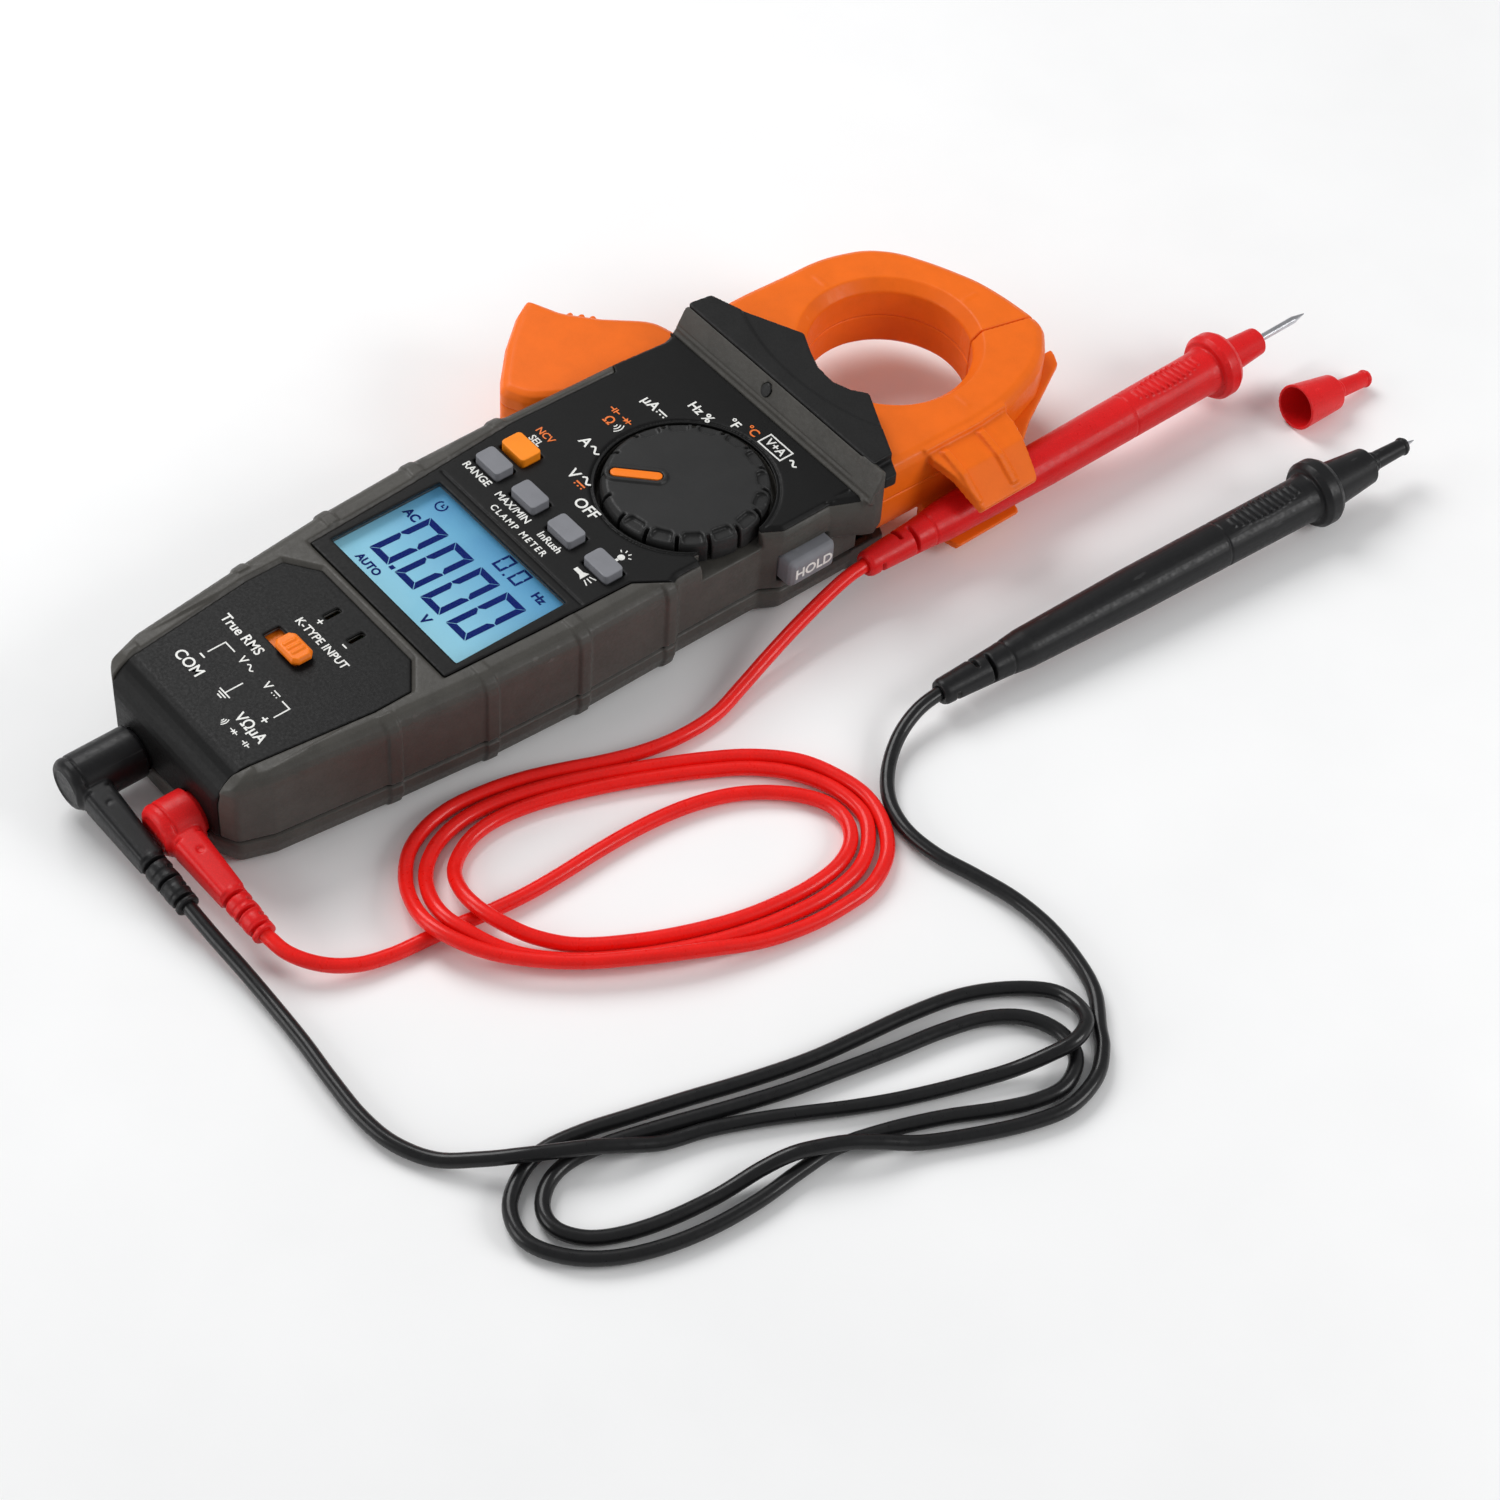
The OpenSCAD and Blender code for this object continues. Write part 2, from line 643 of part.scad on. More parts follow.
// ---------------------------------------------------------------- buttons and shutter
module face_button(spot, size, shade) {
    flange = 0.9;
    color(shade) translate([spot[0], spot[1], 0]) {
        slab(26, button_tip_z) offset(r = 1, $fn = 24) offset(delta = -1)
            square(size, center = true);
        slab(25.2, 26.2) square([size[0] + 2 * flange, size[1] + 2 * flange - 0.6],
            center = true);
        slab(button_stem_z, 25.3) square([3, 3], center = true);
    }
}
module range_button() { face_button(button_spots[0], small_button, grey); }
module maxmin_button() { face_button(button_spots[1], small_button, grey); }
module inrush_button() { face_button(button_spots[2], small_button, grey); }
module light_button() { face_button(button_spots[3], small_button, grey); }
module select_button() { face_button(select_spot, select_size, jaw_orange); }
module hold_button() {
    color(grey) {
        box(34.4, 42.4, hold_y[0], hold_y[1], hold_z[0], hold_z[1]);
        box(33, 34.6, hold_y[0] - 0.8, hold_y[1] + 0.8, hold_z[0] - 0.8, hold_z[1] + 0.8);
        box(31.8, 33.1, 66, 69.4, 15, 18.2);
    }
}
module input_shutter() {
    color(jaw_orange) {
        box(-4.8, 4.6, shutter_y[0], shutter_y[1], face_z + 0.2, 31.8);
        box(-2.6, 2.6, -58.2, -54.4, shutter_plate_z[1] - eps, face_z + 0.3);
        box(-12, 12, -62, -50.6, shutter_plate_z[0], shutter_plate_z[1]);
    }
}

// ---------------------------------------------------------------- test leads
module plug(x, out, stem) {
    end_y = plug_end_y - out;
    stem_y = plug_stem_y - out;
    difference() {
        union() {
            y_cylinder(x, jack_z, -94.4, -77, 5.2);
            y_cylinder(x, jack_z, end_y + 1.4, plug_face_y, plug_barrel_r);
            translate([x, end_y, jack_z]) rotate([-90, 0, 0])
                cylinder(h = 1.4 + eps, r1 = plug_barrel_r - 1.4, r2 = plug_barrel_r);
            translate([x, stem_y, jack_z]) rotate([0, 90 + stem[1], 0]) {
                cylinder(h = stem[0] * 0.68, r1 = 3.4, r2 = 3.2);
                cylinder(h = stem[0], r = 2.5);
                for (i = [0:3]) translate([0, 0, stem[0] * (0.72 + i * 0.08)])
                    cylinder(h = 1.9, r = 3.3 - i * 0.12);
            }
        }
        y_cylinder(x, jack_z, plug_face_y, -76, 3.5);
        y_cylinder(x, jack_z, stem_y, plug_face_y + eps, plug_pin_d / 2);
    }
}
module red_plug() { color(red) plug(jack_x[1], 0, red_stem); }
module black_plug() { color(black) plug(jack_x[0], black_plug_out, black_stem); }
module plug_pin(x, out) {
    y_cylinder(x, jack_z, plug_stem_y - out, -73.5, plug_pin_d / 2);
}
module red_plug_pin() { color(brass) plug_pin(jack_x[1], 0); }
module black_plug_pin() { color(brass) plug_pin(jack_x[0], black_plug_out); }

module spin_y() { rotate([-90, 0, 0]) rotate_extrude() children(); }
module probe_body() {
    spin_y() polygon([[0, 0], [3, 0], [3.4, 1], [4.4, 19], [5.2, 26], [6, 60], [6.3, 116],
        [6.6, 118.4], [flange_r - 1, 118.6], [flange_r, 120], [flange_r, 123],
        [flange_r - 1, 124.6], [4.7, probe_neck_s], [3.8, probe_neck_s + 12.5],
        [1, probe_neck_s + 12.5], [1, 100], [0, 100]]);
}
module probe_tip() {
    spin_y() polygon([[0, 100], [1, 100], [1, probe_l - 4], [0.15, probe_l], [0, probe_l]]);
}
module tip_cap() {
    spin_y() polygon([[5.5, 0], [6.2, 0], [4.9, 13.5], [2.5, 15.5], [2.1, cap_l],
        [1.3, cap_l], [1.3, 14.2], [4.1, 12.7]]);
}
module at_red_probe() { translate([probe_x, probe_y, probe_z]) children(); }
module at_black_probe() {
    translate(black_probe_at) rotate([black_probe_pitch, 0, black_probe_yaw]) children();
}
module red_probe() { color(red) at_red_probe() probe_body(); }
module red_probe_tip() { color(steel) at_red_probe() probe_tip(); }
module black_probe() { color(black) at_black_probe() probe_body(); }
module black_probe_tip() { color(steel) at_black_probe() probe_tip(); }
module red_tip_cap() { color(red) translate(red_cap_at) rotate(red_cap_turn) tip_cap(); }
module black_tip_cap() {
    color(black) at_black_probe() translate([0, probe_neck_s + 0.3, 0]) tip_cap();
}

// Tube along a route, as one closed polyhedron
function unit(v) = v / norm(v);
function heading(route, i) =
    unit(route[min(i + 1, len(route) - 1)] - route[max(i - 1, 0)]);
module tube(route, diameter, sides = 8) {
    rings = len(route);
    points = [for (i = [0:rings - 1])
        let (ahead = heading(route, i), across = unit(cross(ahead, [0, 0, 1])),
            up = cross(across, ahead))
        for (k = [0:sides - 1])
            route[i] + diameter / 2 * (across * cos(k * 360 / sides)
                + up * sin(k * 360 / sides))];
    walls = [for (i = [0:rings - 2]) for (k = [0:sides - 1])
        let (next = (k + 1) % sides)
        [i * sides + k, i * sides + next, (i + 1) * sides + next, (i + 1) * sides + k]];
    near_end = [for (k = [sides - 1:-1:0]) k];
    far_end = [for (k = [0:sides - 1]) (rings - 1) * sides + k];
    polyhedron(points, concat(walls, [near_end, far_end]));
}
module coil_solid(ends) {
    slab(0, coil_h) hull() for (end = ends) translate([end[0], end[1]]) circle(r = end[2]);
}
module red_cord_in() { color(red) tube(red_in_route, cord_d); }
module red_coil() { color(red) coil_solid(red_coil_ends); }
module red_cord_out() { color(red) tube(red_out_route, cord_d); }
module black_cord_in() { color(black) tube(black_in_route, cord_d); }
module black_coil() { color(black) coil_solid(black_coil_ends); }
module black_cord_out() { color(black) tube(black_out_route, cord_d); }

front_shell();
rear_shell();
jaw_collar();
battery_door();
door_screw();
case_screws();
lcd_lens();
lcd_panel();
lcd_backlight();
main_board();
tact_switches();
hold_switch();
beeper();
jack_holder();
com_jack();
volt_jack();
thermocouple_contacts();
batteries();
battery_contacts();
ncv_lens();
worklight_lens();
fixed_jaw_lower();
fixed_jaw_upper();
fixed_core();
fixed_coil();
jaw_pivot();
jaw_spring();
moving_jaw_lower();
moving_jaw_upper();
moving_core();
moving_coil();
knob();
knob_pointer();
switch_rotor();
detent_balls();
range_button();
maxmin_button();
inrush_button();
light_button();
select_button();
hold_button();
input_shutter();
red_plug();
red_plug_pin();
black_plug();
black_plug_pin();
red_cord_in();
red_coil();
red_cord_out();
black_cord_in();
black_coil();
black_cord_out();
red_probe();
red_probe_tip();
black_probe();
black_probe_tip();
red_tip_cap();
black_tip_cap();
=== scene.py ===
"""A clamp meter's looks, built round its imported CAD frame. Sizes are in millimetres."""
import bpy
import bmesh
import json
import math
from mathutils import Euler, Matrix, Vector


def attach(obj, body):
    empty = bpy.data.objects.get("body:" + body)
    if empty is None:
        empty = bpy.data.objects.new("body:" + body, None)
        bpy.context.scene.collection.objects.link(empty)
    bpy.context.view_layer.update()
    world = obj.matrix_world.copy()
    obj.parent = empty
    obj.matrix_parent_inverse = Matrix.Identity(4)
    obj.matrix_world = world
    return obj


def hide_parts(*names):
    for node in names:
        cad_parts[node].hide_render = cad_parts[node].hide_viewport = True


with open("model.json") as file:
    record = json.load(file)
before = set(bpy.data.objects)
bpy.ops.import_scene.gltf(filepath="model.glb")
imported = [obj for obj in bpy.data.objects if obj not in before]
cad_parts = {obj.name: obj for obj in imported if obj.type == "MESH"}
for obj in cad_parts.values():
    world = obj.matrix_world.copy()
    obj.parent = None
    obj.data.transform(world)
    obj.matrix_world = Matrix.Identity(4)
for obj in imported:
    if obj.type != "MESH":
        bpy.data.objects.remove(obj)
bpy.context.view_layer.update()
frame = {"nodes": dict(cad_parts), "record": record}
MM = 0.001

# ---------------- camera
CAMERA_PLACE = (471.1, -349.3, 634.9)
CAMERA_AZIMUTH, CAMERA_ELEVATION, CAMERA_ROLL = 46.95, 49.04, 4.55
SENSOR_WIDTH, LENS = 36, 84


def link(name, data):
    """A new object in the scene."""
    made = bpy.data.objects.new(name, data)
    bpy.context.scene.collection.objects.link(made)
    return made


def spin(turn):
    """Rotation by degrees about X, then Y, then Z."""
    return Euler([math.radians(a) for a in turn]).to_matrix()


turn = spin((90 - CAMERA_ELEVATION, 0, CAMERA_AZIMUTH)) @ spin((0, 0, CAMERA_ROLL))
data = bpy.data.cameras.new("camera")
data.sensor_width, data.lens = SENSOR_WIDTH, LENS
data.clip_start, data.clip_end = 0.01, 20
camera = link("camera", data)
camera.matrix_world = Matrix.Translation(Vector(CAMERA_PLACE) * MM) @ turn.to_4x4()
bpy.context.scene.camera = camera

# ---------------- cord routes
CORD_D = 3.6
# Height of a cord's middle where it lies on the table, for the points that give none
LYING_Z = 2
RED_ROUTE = [
    (49, -99.6, 7), (56, -98, 5.8), (62, -93, 4), (66, -86, 2.6), (68, -78), (69, -70), (70, -62),
    (71.3, -53.5), (72.3, -44), (72.5, -34), (72.2, -22), (72.5, -10), (74, 1.5), (77, 11.5),
    (81.5, 19.5), (87.5, 26), (94, 29.8), (100.5, 29.8), (106, 26.3), (109.3, 20), (110.3, 12),
    (109.8, 3), (107.8, -8), (103.8, -20), (98.2, -32), (91.2, -43), (84.5, -50, 3.4),
    (78, -54.4, 5.4), (71.3, -56.4, 5.9), (64.5, -56, 4.8), (57.8, -53.2, 3), (53.2, -48),
    (50.8, -41.5), (50.5, -33.5), (52.3, -24), (55.6, -14), (59.5, -4.5), (63.8, 4.5), (68.3, 13),
    (74, 22), (81.5, 29.3), (91, 33.9), (101.3, 34.3), (108.7, 29.4), (113.2, 22.5), (114.8, 13),
    (114.2, 3), (111.9, -9), (107.8, -21.5), (102, -34), (94.8, -45.5), (87.5, -53.8, 2.4),
    (81, -59, 3.8), (75, -62.3, 5.6), (68.5, -64, 5.9), (61, -62.5, 4.4), (53.5, -58.2, 2.6),
    (48.2, -51.5), (45.8, -43), (46, -34), (48.2, -24), (51.6, -14), (55.6, -4.5), (60, 5),
    (64.8, 14.5), (71, 24.5), (79, 32.8), (88, 37), (97.3, 38.6), (106.4, 36.2), (114, 30.7),
    (118.7, 22), (119.5, 12.5), (118.7, 2), (116, -10, 2.8), (111, -22.5, 4.4), (104.8, -34.8, 5),
    (97.5, -46.5, 5), (90, -55.5, 5.2), (82.5, -62.2, 5.6), (75, -66.6, 6.4), (67.5, -68.2, 6),
    (60, -66.8, 4.4), (52.5, -63.2, 2.6), (46, -57.5), (42.3, -50), (41, -41.5), (42, -32),
    (44.1, -23), (47.4, -14), (51.2, -5), (54.4, 4.5), (56.2, 15), (56, 26, 2.2), (53.5, 36, 3),
    (51, 46, 4.6), (49, 56, 6.8), (47.5, 66, 9.2), (46.6, 75, 11.3), (46.5, 81, 12),
]
BLACK_ROUTE = [
    (31, -108.2, 5.5), (41, -108, 4.2), (52, -107.5, 2.8), (64, -107.5), (76, -108), (88, -109),
    (100, -109.5), (110, -108), (119, -103.5, 2.4), (126, -96.5, 4.4), (131, -90, 5.8),
    (135, -83, 5.9), (138.8, -76, 5.7), (142.4, -69, 4.2), (145.6, -61.5, 2.3), (148.5, -52),
    (153, -42), (158, -32.5), (163, -23.5), (167.5, -14.5), (171.5, -5), (175, 4, 2.2),
    (178, 12, 2.8), (180.8, 20, 4.8), (182, 27, 5.9), (179.2, 33.2, 5), (173, 35.6, 3.2),
    (166.4, 34, 2.1), (160, 26.5), (155, 16.5), (152, 4), (150, -9), (147.8, -22), (144, -36),
    (139.5, -50), (135.5, -63), (132.3, -74), (131, -84), (133.5, -92), (139, -98.5), (147, -100.5),
    (155, -96.5), (161.5, -89), (166, -79), (168.7, -67.5), (169.7, -55), (169.3, -43),
    (169.5, -32), (173, -20), (178, -8), (183.5, 2.5), (187, 11), (188, 19), (184, 26), (176.8, 28),
    (169, 24.8), (163.5, 17.5), (160, 7), (157.5, -5), (154.5, -18), (151.3, -31), (146.8, -45),
    (142, -59), (138.3, -71), (136.8, -80), (138.2, -87.2), (142.8, -92.6), (148.6, -93.6),
    (154.4, -89.9), (158.5, -83), (161.5, -73), (163.3, -61), (164.6, -50, 3.8), (166.6, -43, 5.7),
    (169, -37, 5.9), (172, -31, 5.8), (175.5, -25, 4.6), (180, -17, 2.4), (185.5, -6), (190.6, 6),
    (192.8, 16), (190.6, 26), (185.6, 32.6), (181, 36), (173, 42), (164, 45), (153, 46.5),
    (142, 45.8), (131, 43), (121, 40), (111, 39.3), (102, 42), (94.5, 48, 2.2), (89, 56, 3.6),
    (86.4, 64, 5.3), (86, 71.4, 6.3),
]


def smooth_route(points, steps=6):
    """Points along a Catmull-Rom curve through a route's points."""
    route = [Vector((*p, LYING_Z)[:3]) for p in points]
    padded = [2 * route[0] - route[1], *route, 2 * route[-1] - route[-2]]
    made = []
    for i in range(1, len(padded) - 2):
        p0, p1, p2, p3 = padded[i - 1:i + 3]
        for k in range(steps):
            t = k / steps
            made.append(0.5 * (2 * p1 + (p2 - p0) * t + (2 * p0 - 5 * p1 + 4 * p2 - p3) * t ** 2
                               + (3 * p1 - p0 - 3 * p2 + p3) * t ** 3))
    return [*made, route[-1]]


# ---------------- mesh helpers
def new_piece(name, verts, faces):
    mesh = bpy.data.meshes.new(name)
    mesh.from_pydata([Vector(v) * MM for v in verts], [], faces)
    mesh.update()
    return link(name, mesh)


def solid(name, verts, faces):
    """A closed piece whose faces all look outwards."""
    piece = new_piece(name, verts, faces)
    mesh = bmesh.new()
    mesh.from_mesh(piece.data)
    bmesh.ops.recalc_face_normals(mesh, faces=mesh.faces)
    bmesh.ops.triangulate(mesh, faces=[f for f in mesh.faces if len(f.verts) > 4])
    mesh.to_mesh(piece.data)
    mesh.free()
    return piece


def drop(piece):
    mesh = piece.data
    bpy.data.objects.remove(piece)
    bpy.data.meshes.remove(mesh)


def evaluated(piece):
    """A mesh of what a curve or a piece with modifiers looks like."""
    bpy.context.view_layer.update()
    graph = bpy.context.evaluated_depsgraph_get()
    return bpy.data.meshes.new_from_object(piece.evaluated_get(graph))


def apply_modifiers(piece):
    mesh, old = evaluated(piece), piece.data
    piece.modifiers.clear()
    piece.data = mesh
    bpy.data.meshes.remove(old)


def area_of(points):
    return sum(a[0] * b[1] - b[0] * a[1] for a, b in zip(points, [*points[1:], points[0]])) / 2


def inset(points, depth):
    """A closed outline moved inwards by depth, with mitred corners."""
    side = 1 if area_of(points) > 0 else -1
    made = []
    for i, p in enumerate(points):
        here = Vector(p[:2])
        ahead = (Vector(points[(i + 1) % len(points)][:2]) - here).normalized()
        behind = (here - Vector(points[i - 1][:2])).normalized()
        normal = Vector((-ahead.y - behind.y, ahead.x + behind.x)) * side
        length = normal.length
        made.append(tuple(here + normal * (2 * depth / max(length * length, 0.6))))
    return made


def rounded(points, radius, steps=4):
    """A closed outline with its corners turned into arcs."""
    made = []
    for i, p in enumerate(points):
        here = Vector(p)
        to_a = Vector(points[i - 1]) - here
        to_b = Vector(points[(i + 1) % len(points)]) - here
        half = to_a.angle(to_b) / 2
        reach = min(radius / max(math.tan(half), 0.05), 0.45 * to_a.length, 0.45 * to_b.length)
        start = here + to_a.normalized() * reach
        end = here + to_b.normalized() * reach
        for k in range(steps + 1):
            t = k / steps
            made.append(tuple(start * (1 - t) ** 2 + here * 2 * t * (1 - t) + end * t ** 2))
    return made


def loft(levels, name="form"):
    """A closed solid through outlines of equal length, each at its own height: (points, z)."""
    count = len(levels[0][0])
    verts = [(x, y, z) for points, z in levels for x, y in points]
    faces = [list(range(count))[::-1], [len(verts) - count + i for i in range(count)]]
    for level in range(len(levels) - 1):
        for i in range(count):
            a, b = level * count + i, level * count + (i + 1) % count
            faces.append([a, b, b + count, a + count])
    return solid(name, verts, faces)


def tapered(outline, *steps):
    """A loft of one outline, moved in by a depth at each height: (depth, z)."""
    return loft([(inset(outline, depth), z) for depth, z in steps])


def prism(points, z0, z1, name="form"):
    return loft([(points, z0), (points, z1)], name)


def rect(x0, x1, y0, y1):
    return [(x0, y0), (x1, y0), (x1, y1), (x0, y1)]


def block(x0, x1, y0, y1, z0, z1):
    return prism(rect(x0, x1, y0, y1), z0, z1)


def circle(centre, radius, steps=64):
    return [(centre[0] + radius * math.cos(2 * math.pi * k / steps),
             centre[1] + radius * math.sin(2 * math.pi * k / steps)) for k in range(steps)]


# Turns (x, y, z) into (z, x, y), so that what was drawn on the table faces +X
TO_SIDE = Matrix(((0, 0, 1, 0), (1, 0, 0, 0), (0, 1, 0, 0), (0, 0, 0, 1)))


def side_prism(profile, x0, x1):
    """A solid from a (y, z) profile, drawn out along X."""
    piece = prism(profile, x0, x1)
    piece.data.transform(TO_SIDE)
    return piece


def lathe(profile, steps=48):
    """A solid turned about the Y axis from a profile of (radius, y) that starts and ends at 0."""
    verts, rings = [], []
    for r, y in profile:
        ring = []
        for k in range(steps if r > 0 else 1):
            angle = 2 * math.pi * k / steps
            verts.append((r * math.cos(angle), y, r * math.sin(angle)))
            ring.append(len(verts) - 1)
        rings.append(ring)
    faces = []
    for low, high in zip(rings, rings[1:]):
        for k in range(steps):
            a, b = low[k % len(low)], low[(k + 1) % len(low)]
            c, d = high[(k + 1) % len(high)], high[k % len(high)]
            faces.append([v for i, v in enumerate((a, b, c, d)) if v not in (a, b, c, d)[:i]])
    return solid("turned", verts, [f for f in faces if len(f) > 2])


def rod(radius, y0, y1, steps=48):
    """A cylinder along the Y axis."""
    return lathe([(0, y0), (radius, y0), (radius, y1), (0, y1)], steps)


def hoop(inner, outer, y, half):
    """A flat ring about the Y axis that reaches half to each side of y."""
    return cut(rod(outer, y - half, y + half), rod(inner, y - 1, y + 1))


def placed(piece, at=(0, 0, 0), turn=(0, 0, 0)):
    """Turns a piece's mesh, then moves it."""
    piece.data.transform(Matrix.Translation(Vector(at) * MM) @ spin(turn).to_4x4())
    return piece


def cad_copy(node, name):
    """A new piece with a CAD node's own shape, to work on."""
    piece = link(name, frame["nodes"][node].data.copy())
    piece.data.materials.clear()
    mesh = bmesh.new()
    mesh.from_mesh(piece.data)
    bmesh.ops.remove_doubles(mesh, verts=mesh.verts, dist=1e-6)
    bmesh.ops.dissolve_degenerate(mesh, edges=mesh.edges, dist=1e-7)
    mesh.to_mesh(piece.data)
    mesh.free()
    return piece


def combine(piece, others, operation):
    """Joins, cuts or trims piece with other solids, which are used up."""
    for other in others:
        step = piece.modifiers.new("step", "BOOLEAN")
        step.operation, step.object, step.solver = operation, other, "MANIFOLD"
        apply_modifiers(piece)
        drop(other)
    return piece


def cut(piece, *others):
    return combine(piece, others, "DIFFERENCE")


def join(piece, *others):
    return combine(piece, others, "UNION")


def trim(piece, *others):
    return combine(piece, others, "INTERSECT")


def smooth_shaded(piece):
    for polygon in piece.data.polygons:
        polygon.use_smooth = True
    return piece


def soften(piece, voxel, passes, keep):
    """Remeshes a piece evenly and smooths it, so that its edges get moulded fillets."""
    remesh = piece.modifiers.new("remesh", "REMESH")
    remesh.mode, remesh.voxel_size, remesh.use_smooth_shade = "VOXEL", voxel * MM, True
    smooth = piece.modifiers.new("smooth", "SMOOTH")
    smooth.factor, smooth.iterations = 0.5, passes
    thin = piece.modifiers.new("thin", "DECIMATE")
    thin.ratio = keep
    apply_modifiers(piece)
    return smooth_shaded(piece)


def bevelled(piece, width):
    """Rounds a simple solid's own edges."""
    bevel = piece.modifiers.new("bevel", "BEVEL")
    bevel.width, bevel.segments, bevel.limit_method = width * MM, 3, "ANGLE"
    bevel.angle_limit = math.radians(35)
    apply_modifiers(piece)
    return smooth_shaded(piece)


# ---------------- materials
def srgb(r, g, b):
    """A linear colour from 0-255 screen values."""
    def line(v):
        v /= 255
        return v / 12.92 if v <= 0.04045 else ((v + 0.055) / 1.055) ** 2.4
    return (line(r), line(g), line(b), 1)


def shade(colour, factor):
    return (*(min(1, c * factor) for c in colour[:3]), 1)


class Mix:
    """A node material under construction."""

    def __init__(self, name):
        self.material = bpy.data.materials.new(name)
        self.material.use_nodes = True
        self.nodes = self.material.node_tree.nodes
        self.links = self.material.node_tree.links
        self.shader = self.nodes["Principled BSDF"]
        self.place = self.nodes.new("ShaderNodeTexCoord").outputs["Object"]

    def put(self, socket, value):
        """Links a socket to another one, or sets its number."""
        if isinstance(value, bpy.types.NodeSocket):
            self.links.new(value, socket)
        else:
            socket.default_value = value

    def add(self, kind, **values):
        node = self.nodes.new("ShaderNode" + kind)
        for key, value in values.items():
            self.put(node.inputs[key.replace("_", " ")], value)
        return node

    def set(self, **values):
        for key, value in values.items():
            self.put(self.shader.inputs[key.replace("_", " ")], value)

    def noise(self, size, detail=3, stretch=(1, 1, 1)):
        """Noise whose grains are about size millimetres across."""
        mapping = self.add("Mapping", Scale=stretch, Vector=self.place)
        node = self.add("TexNoise", Scale=1 / (size * MM), Detail=detail, Roughness=0.55,
                        Vector=mapping.outputs["Vector"])
        return node.outputs["Fac"]

    def bands(self, size, axis, distortion):
        """Bands about size millimetres apart along an axis."""
        node = self.add("TexWave", Scale=0.314 / (size * MM), Distortion=distortion,
                        Vector=self.place)
        node.bands_direction = axis
        return node.outputs["Fac"]

    def ramp(self, value, low, high, start=0.3, end=0.7):
        node = self.add("ValToRGB", Fac=value)
        for stop, place, colour in zip(node.color_ramp.elements, (start, end), (low, high)):
            stop.position, stop.color = place, colour
        return node.outputs["Color"]

    def blend(self, amount, low, high):
        node = self.nodes.new("ShaderNodeMix")
        node.data_type = "RGBA"
        for key, value in (("Factor", amount), ("A", low), ("B", high)):
            self.put(node.inputs[key], value)
        return node.outputs["Result"]

    def span(self, value, low, high, start=0.0, end=1.0):
        node = self.add("MapRange", From_Min=start, From_Max=end, To_Min=low, To_Max=high,
                        Value=value)
        return node.outputs["Result"]

    def product(self, first, second):
        node = self.nodes.new("ShaderNodeMath")
        node.operation = "MULTIPLY"
        self.put(node.inputs[0], first)
        self.put(node.inputs[1], second)
        return node.outputs["Value"]

    def axis(self, letter):
        return self.add("SeparateXYZ", Vector=self.place).outputs[letter]

    def edges(self):
        """1 on sharp outer edges, 0 elsewhere."""
        return self.span(self.add("NewGeometry").outputs["Pointiness"], 0, 1, 0.52, 0.58)

    def colour(self, value):
        self.set(Base_Color=value)

    def roughness(self, value):
        self.set(Roughness=value)

    def bump(self, *layers):
        """Bump layers, each a height value and its depth in millimetres."""
        last = {}
        for height, depth in layers:
            node = self.add("Bump", Distance=depth * MM, Height=height, **last)
            last = {"Normal": node.outputs["Normal"]}
        self.set(**last)


def moulded(name, colour, rough, grain, depth, wear_and_highlight, vary=0.25, speck=1.35, seam_shade_z=0, **numbers):
    """Moulded plastic or rubber: a fine pitted grain, soft blotches, lighter edges that are partly
    rubbed wear and partly painted highlight, and an optional line of painted shade along the
    shells' seam.
    """
    mix = Mix(name)
    blotch = mix.noise(7, 4)
    fine = mix.noise(grain, 2)
    pits = mix.noise(grain * 3.1, 3)
    body = mix.ramp(blotch, shade(colour, 1 - vary), shade(colour, 1 + vary))
    if seam_shade_z:
        # Painted shade: a thin, nearly black line along the seam between the shells, as if the
        # groove lay in shadow
        above = mix.span(mix.axis("Z"), 0, 1, (seam_shade_z - 0.45) * MM, (seam_shade_z - 0.2) * MM)
        below = mix.span(mix.axis("Z"), 1, 0, (seam_shade_z + 0.2) * MM, (seam_shade_z + 0.45) * MM)
        body = mix.blend(mix.product(above, below), body, shade(colour, 0.1))
    specked = mix.blend(mix.span(fine, 0, 0.5, 0.45, 0.75), body, shade(colour, speck))
    if wear_and_highlight:
        # Painted highlight and wear: sharp edges are lightened in patchy noise, partly as rubbed
        # wear and partly as light caught on the bevels
        scuff_and_highlight = mix.product(mix.edges(), mix.span(mix.noise(1.8, 4), 0.2, wear_and_highlight, 0.35, 0.7))
        rubbed_and_lit_colour = (*(min(1, c * 1.5 + 0.06) for c in colour[:3]), 1)
        mix.colour(mix.blend(scuff_and_highlight, specked, rubbed_and_lit_colour))
    else:
        mix.colour(specked)
    mix.roughness(mix.span(pits, rough - 0.09, rough + 0.09, 0.3, 0.7))
    mix.bump((pits, depth * 1.5), (fine, depth))
    mix.set(**{"Specular_IOR_Level": 0.22, **numbers})
    return mix.material


def metal(name, colour, rough):
    mix = Mix(name)
    lines = mix.noise(0.12, 2, (1, 1, 12))
    stain = mix.noise(4, 4)
    mix.colour(mix.ramp(stain, shade(colour, 0.82), colour))
    mix.roughness(mix.span(lines, rough - 0.08, rough + 0.12, 0.3, 0.7))
    mix.bump((lines, 0.004))
    mix.set(Metallic=1.0)
    return mix.material


def board_material():
    mix = Mix("circuit_board")
    mask = srgb(24, 92, 58)
    tracks = mix.add("TexBrick", Scale=1 / (5.5 * MM), Mortar_Size=0.035, Vector=mix.place)
    copper = mix.span(tracks.outputs["Fac"], 0, 1, 0.2, 0.8)
    green = mix.ramp(mix.noise(9, 3), shade(mask, 0.8), shade(mask, 1.15))
    mix.colour(mix.blend(copper, green, srgb(70, 132, 84)))
    mix.roughness(mix.span(mix.noise(1.2), 0.25, 0.4))
    mix.bump((copper, 0.03))
    return mix.material


